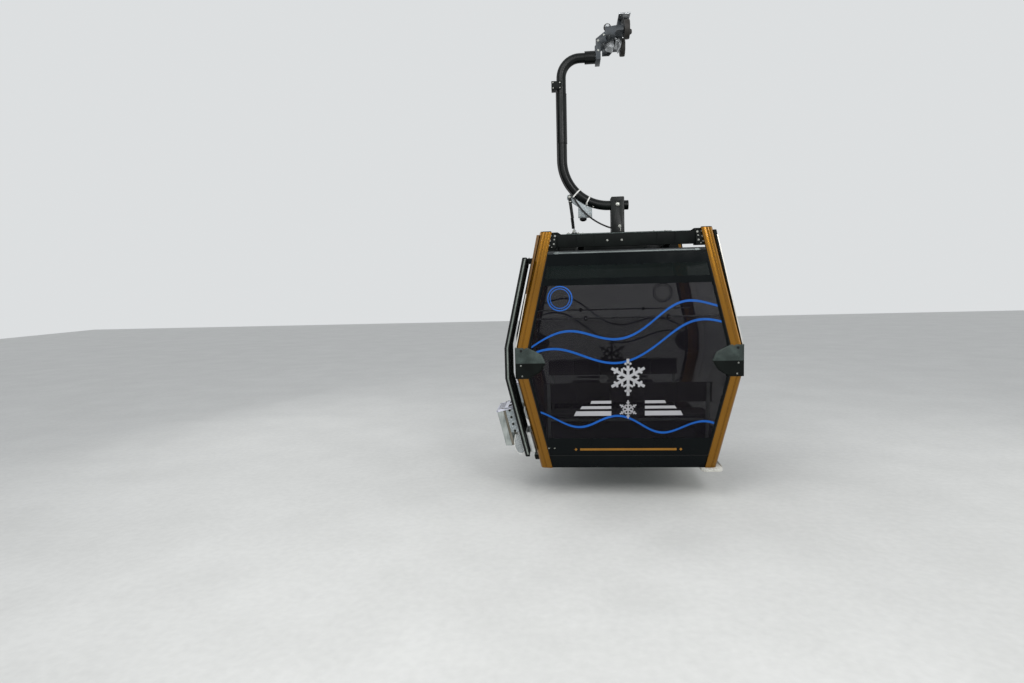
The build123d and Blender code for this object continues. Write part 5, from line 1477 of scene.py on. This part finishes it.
class CABIN_OT_racks(bpy.types.Operator):
    """Ski racks and bins on the leaves"""

    bl_idname = "cabin.racks"
    bl_label = "Ski racks"

    def execute(self, context):
        self.plates()
        self.combs()
        self.grommets()
        self.bins()
        return {"FINISHED"}

    def plates(self):
        """Side plates of the racks: a drilled strip beside the leaf, a web darkened as painted shade, and an angle at
        the outer edge.
        """
        drilled, webs, angles = bmesh.new(), bmesh.new(), bmesh.new()
        foot, top = up(0.200), up(0.556)
        outer = LEAF_FACE - 172 * MM
        for middle in LEAF_MIDDLES:
            for side in (-1, 1):
                face = middle + side * RACK_HALF
                near, far = sorted((face - side * 4 * MM, face))
                strip(drilled, "door", (near, LEAF_FACE - 88 * MM, up(0.335)), (far, LEAF_FACE, up(0.580)), bend=0)
                corners = (near, LEAF_FACE - 114 * MM, up(0.205)), (far, LEAF_FACE - 86 * MM, up(0.572))
                strip(webs, "door", *corners, bend=0)
                near, far = sorted((face - side * 6 * MM, face + side * 5 * MM))
                corners = (near, outer, foot), (far, LEAF_FACE - 110 * MM, top)
                strip(angles, "door", *corners, bend=0, rounding=2 * MM)
                near, far = sorted((face - side * 42 * MM, face))
                strip(angles, "door", (near, outer, foot), (far, outer + 5 * MM, top), bend=0)
            # Foot plate, and the plate on the leaf
            start, stop = middle - RACK_HALF, middle + RACK_HALF
            corners = (start, LEAF_FACE - 165 * MM, up(0.205)), (stop, LEAF_FACE - 100 * MM, up(0.211))
            strip(angles, "door", *corners, bend=0)
            strip(angles, "door", (start, LEAF_FACE - 8 * MM, up(0.45)), (stop, LEAF_FACE, up(0.578)), bend=0)
        piece("rack_strips", drilled, "hot_dip_zinc", stands_for=("ski_racks",))
        piece("rack_webs", webs, "weathered_sheet")
        piece("rack_angles", angles, "extruded_aluminium")

    def combs(self):
        """Tilted comb on each rack: teeth between an inner plate and a bead, over a black rubber mat."""
        teeth, mats = bmesh.new(), bmesh.new()
        low, high = -6 * MM, 4 * MM
        count, pitch, half_tooth, lean = 6, 68 * MM, 18 * MM, radians(-15)
        for middle in LEAF_MIDDLES:
            start, stop = middle - COMB_HALF, middle + COMB_HALF
            cuboid(teeth, (0, start, low), (92 * MM, stop, high))
            for step in range(count):
                y = middle + (step - (count - 1) / 2) * pitch
                cuboid(teeth, (90 * MM, y - half_tooth, low), (160 * MM, y + half_tooth, high))
            for y in (start, stop - 12 * MM):
                cuboid(teeth, (0, y, -14 * MM), (168 * MM, y + 12 * MM, high))
            bar(teeth, (163 * MM, start, -2 * MM), (163 * MM, stop, -2 * MM), 9 * MM)
            cuboid(mats, (88 * MM, middle - 0.17, -8 * MM), (156 * MM, middle + 0.17, 3 * MM))
            for y in (middle - 0.165, middle + 0.04):
                cuboid(mats, (16 * MM, y, 0), (52 * MM, y + 0.125, 5 * MM))
        round_edges(teeth, 2 * MM, 2, 50)
        foot = up(0.590)
        place = Matrix.Translation((-(wall_reach(foot, 0, MM) - LEAF_FACE) - 2 * MM, 0, foot))
        place = place @ Matrix.Rotation(lean, 4, "Y") @ Matrix.Scale(-1, 4, (1, 0, 0))
        for bm in (teeth, mats):
            bmesh.ops.transform(bm, matrix=place, verts=bm.verts)
            bmesh.ops.recalc_face_normals(bm, faces=bm.faces)
        piece("comb_teeth", teeth, "comb_polyamide")
        piece("comb_mats", mats, "seal_rubber")

    def grommets(self):
        """Rims down the racks' drilled strips, with black discs in them as painted shade of the holes."""
        holes, rims = bmesh.new(), bmesh.new()
        # Black discs inside the rims: painted shade of the holes
        rings = ((rims, 14 * MM, 1.2 * MM), (holes, 12 * MM, 1.8 * MM))
        for middle in LEAF_MIDDLES:
            for side in (-1, 1):
                face = middle + side * RACK_HALF
                for step in range(4):
                    z = up(0.348 + 0.068 * step)
                    x = -(wall_reach(z, 0, MM) - LEAF_FACE + 46 * MM)
                    for bm, radius, stop in rings:
                        bar(bm, (x, face - side * 0.5 * MM, z), (x, face + side * stop, z), radius, 24)
        piece("rack_hole_rims", rims, "plated_steel")
        piece("rack_hole_shades", holes, "seal_rubber")

    def bins(self):
        """Curved clear pockets outside, with a pale rim, and rounded milky tubs inside."""
        pockets, rims, tubs = bmesh.new(), bmesh.new(), bmesh.new()
        # A pocket's section in millimetres, out from the leaf and up, and the same one wall further in
        wall = 3
        section = [(2, 310), (2, 160), (8, 138), (24, 122), (50, 118), (72, 132)]
        section += [(84, 160), (86, 200), (76, 250), (58, 290), (50, 312)]
        inside = []
        for out, height in reversed(section):
            inward = Vector((43 - out, 220 - height)).normalized() * wall
            inside.append((out + inward.x, height + inward.y))
        for middle in LEAF_MIDDLES:
            start, stop = middle - COMB_HALF, middle + COMB_HALF
            pocket = bmesh.new()
            for outline, y, length in (
                (section + inside, start, 2 * COMB_HALF),
                (section, start, wall * MM),
                (section, stop - wall * MM, wall * MM),
            ):
                prism(pocket, [(y, LEAF_FACE - out * MM, up(height * MM)) for out, height in outline], (length, 0, 0))
            bmesh.ops.recalc_face_normals(pocket, faces=pocket.faces)
            fold(pocket, "door", bend=0)
            gather(pockets, pocket)
            for y in (start, stop):
                rim = bmesh.new()
                swept(rim, [(y, LEAF_FACE - out * MM, up(height * MM)) for out, height in section[2:]], 4 * MM, 8)
                fold(rim, "door", bend=0)
                gather(rims, rim)
            gather(tubs, self.tub(middle))
        piece("bin_tubs", tubs, "bin_polyethylene", stands_for=("ski_bins",), smooth=50)
        piece("bin_pockets", pockets, "clear_polycarbonate", smooth=60)
        piece("pocket_rims", rims, "white_nylon", smooth=60)

    def tub(self, middle):
        """Rounded tub, hollow from its mouth down."""
        tub = bmesh.new()
        cuboid(tub, (middle - BIN_HALF, LEAF_BACK, up(0.115)), (middle + BIN_HALF, -14 * MM, up(0.32)))
        top = up(0.32) - 1 * MM
        round_edges(tub, 18 * MM, 6, 60, lambda edge: min(vert.co.z for vert in edge.verts) < top)
        mouth = [face for face in tub.faces if face.normal.z > 0.9 and face.calc_center_median().z > top]
        bmesh.ops.inset_region(tub, faces=mouth, thickness=5 * MM, use_even_offset=True)
        floor = extruded(tub, mouth)
        bmesh.ops.delete(tub, geom=mouth, context="FACES")
        bmesh.ops.translate(tub, vec=(0, 0, -160 * MM), verts=floor)
        fold(tub, "door", bend=0)
        return tub


class CABIN_OT_benches(bpy.types.Operator):
    """Seats, backs and their frames, window bars and floor covering"""

    bl_idname = "cabin.benches"
    bl_label = "Benches"

    def execute(self, context):
        self.seats()
        self.backs()
        softened("bench_tubes", "bench_frames", "extruded_aluminium", 4 * MM, 3)
        self.bars()
        softened("floor_covering", "floor_mat", "studded_rubber", 1.5 * MM)
        return {"FINISHED"}

    def seats(self):
        """Dished shells at each end, with a rolled front."""
        low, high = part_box("seats")
        gap, depth = 12 * MM, 0.43
        width = (high.x - low.x + gap) / SEATS
        bm = bmesh.new()
        for _, facing in ENDS:
            near, far = sorted((facing * high.y, facing * (high.y - depth)))

            def dish(u, v):
                back = facing * v
                hollow = -11 * MM * (1 - u * u) * (1 - (back * 0.9) ** 2)
                lip = -16 * MM * (max(0, -back - 0.55) / 0.45) ** 2
                return hollow + lip - 1 * MM

            for seat in range(SEATS):
                start = low.x + seat * width
                shell = bmesh.new()
                pad(shell, (start, near, low.z), (start + width - gap, far, high.z), dish, steps=12)
                round_edges(shell, 7 * MM, 3, 50)
                gather(bm, shell)
        piece("seat_shells", bm, "bench_abs", stands_for=("seats",), smooth=50)

    def backs(self):
        """Back rests, one for each seat, crowned and set on the wall's slope."""
        low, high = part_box("seat_backs")
        gap = 14 * MM
        width = (high.x - low.x + gap) / SEATS
        bm = bmesh.new()
        for end, _ in ENDS:
            for seat in range(SEATS):
                start = low.x + seat * width
                rest = bmesh.new()
                pad(
                    rest,
                    (start, 70 * MM, low.z),
                    (start + width - gap, 102 * MM, high.z),
                    lambda u, v: -9 * MM * (1 - u * u) * (1 - v * v) + 4 * MM * u * u,
                    facing=1,
                    steps=10,
                )
                round_edges(rest, 8 * MM, 3, 50)
                fold(rest, end, bend=0)
                gather(bm, rest)
        piece("back_rests", bm, "back_vinyl", stands_for=("seat_backs",), smooth=50)

    def bars(self):
        """Clips on the window bars."""
        low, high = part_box("window_bars")
        bm = bmesh.new()
        middle = (low.z + high.z) / 2
        for _, facing in ENDS:
            y = facing * 0.955
            near, far = sorted((facing * (high.y - 0.05), facing * 0.99))
            for x in (-0.391, 0.391):
                bar(bm, (x - 16 * MM, y, middle), (x + 16 * MM, y, middle), 14 * MM, 24)
                cuboid(bm, (x - 14 * MM, near, middle - 22 * MM), (x + 14 * MM, far, middle + 22 * MM))
        round_edges(bm, 2 * MM, 2)
        piece("bar_clips", bm, "grained_abs")


class CABIN_OT_underside(bpy.types.Operator):
    """Floor pan, its beams and the slide bar"""

    bl_idname = "cabin.underside"
    bl_label = "Underside"

    def execute(self, context):
        fittings = context.scene.cabin_fittings
        softened("floor_sheet", "floor_pan", "mill_aluminium", 2 * MM)
        softened("floor_girders", "floor_beams", "hot_dip_zinc", 3 * MM)
        softened("slide_bar", "guide_skid", "skid_polyethylene", 4 * MM, 3)
        low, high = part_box("guide_skid")
        bm = bmesh.new()
        edge = (high.x - 22 * MM, low.y + 70 * MM, high.z - 4 * MM), (high.x, high.y - 70 * MM, high.z + 14 * MM)
        pad(bm, *edge, lambda u, v: 8 * MM * (u - 1) - 10 * MM * v**6, steps=10)
        round_edges(bm, 3 * MM, 2, 50)
        piece("slide_bar_edge", bm, "skid_polyethylene", smooth=50)
        bolts = bmesh.new()
        count, pitch = 8, 0.24
        ys = [(step - (count - 1) / 2) * pitch for step in range(count)]
        bolt_grid(bolts, (low.x + 12 * MM,), ys, (high.z,), (0, 0, 1), fittings.bolt * 0.7)
        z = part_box("floor_beams")[0].z
        for x, ys in ((0.42, (-0.8, -0.56, 0.0, 0.56, 0.8)), (0.68, (-0.56, 0.56))):
            bolt_grid(bolts, (-x, x), ys, (z,), (0, 0, -1), fittings.bolt)
        piece("underside_bolts", bolts, "plated_steel")
        return {"FINISHED"}


# Panel and start


STEPS = (
    CABIN_OT_finishes,
    CABIN_OT_stage,
    CABIN_OT_posts,
    CABIN_OT_glazing,
    CABIN_OT_decor,
    CABIN_OT_roof,
    CABIN_OT_frame,
    CABIN_OT_hanger,
    CABIN_OT_doors,
    CABIN_OT_racks,
    CABIN_OT_benches,
    CABIN_OT_underside,
    CABIN_OT_grip,
)
GROUPS = {
    "cabin_colours": CABIN_PG_colours,
    "cabin_view": CABIN_PG_view,
    "cabin_glazing": CABIN_PG_glazing,
    "cabin_decor": CABIN_PG_decor,
    "cabin_fittings": CABIN_PG_fittings,
}


class CABIN_PT_panel(bpy.types.Panel):
    """Sizes, colours and steps of the cabin"""

    bl_idname = "CABIN_PT_panel"
    bl_label = "Gondola cabin"
    bl_space_type = "VIEW_3D"
    bl_region_type = "UI"
    bl_category = "Cabin"

    def draw(self, context):
        for step in STEPS:
            self.layout.operator(step.bl_idname)
        for name in GROUPS:
            box = self.layout.box()
            group = getattr(context.scene, name)
            for field in group.bl_rna.properties:
                if field.identifier not in ("name", "rna_type"):
                    box.prop(group, field.identifier)


CLASSES = (*GROUPS.values(), *STEPS, CABIN_PT_panel)


def register():
    for item in CLASSES:
        bpy.utils.register_class(item)
    for name, group in GROUPS.items():
        setattr(bpy.types.Scene, name, PointerProperty(type=group))


def unregister():
    for name in GROUPS:
        delattr(bpy.types.Scene, name)
    for item in reversed(CLASSES):
        bpy.utils.unregister_class(item)


def main():
    register()
    bpy.ops.cabin.finishes()
    bpy.ops.cabin.stage()
    bpy.ops.cabin.posts()
    bpy.ops.cabin.glazing()
    bpy.ops.cabin.decor()
    bpy.ops.cabin.roof()
    bpy.ops.cabin.frame()
    bpy.ops.cabin.hanger()
    bpy.ops.cabin.doors()
    bpy.ops.cabin.racks()
    bpy.ops.cabin.benches()
    bpy.ops.cabin.underside()
    bpy.ops.cabin.grip()


if __name__ == "__main__":
    main()
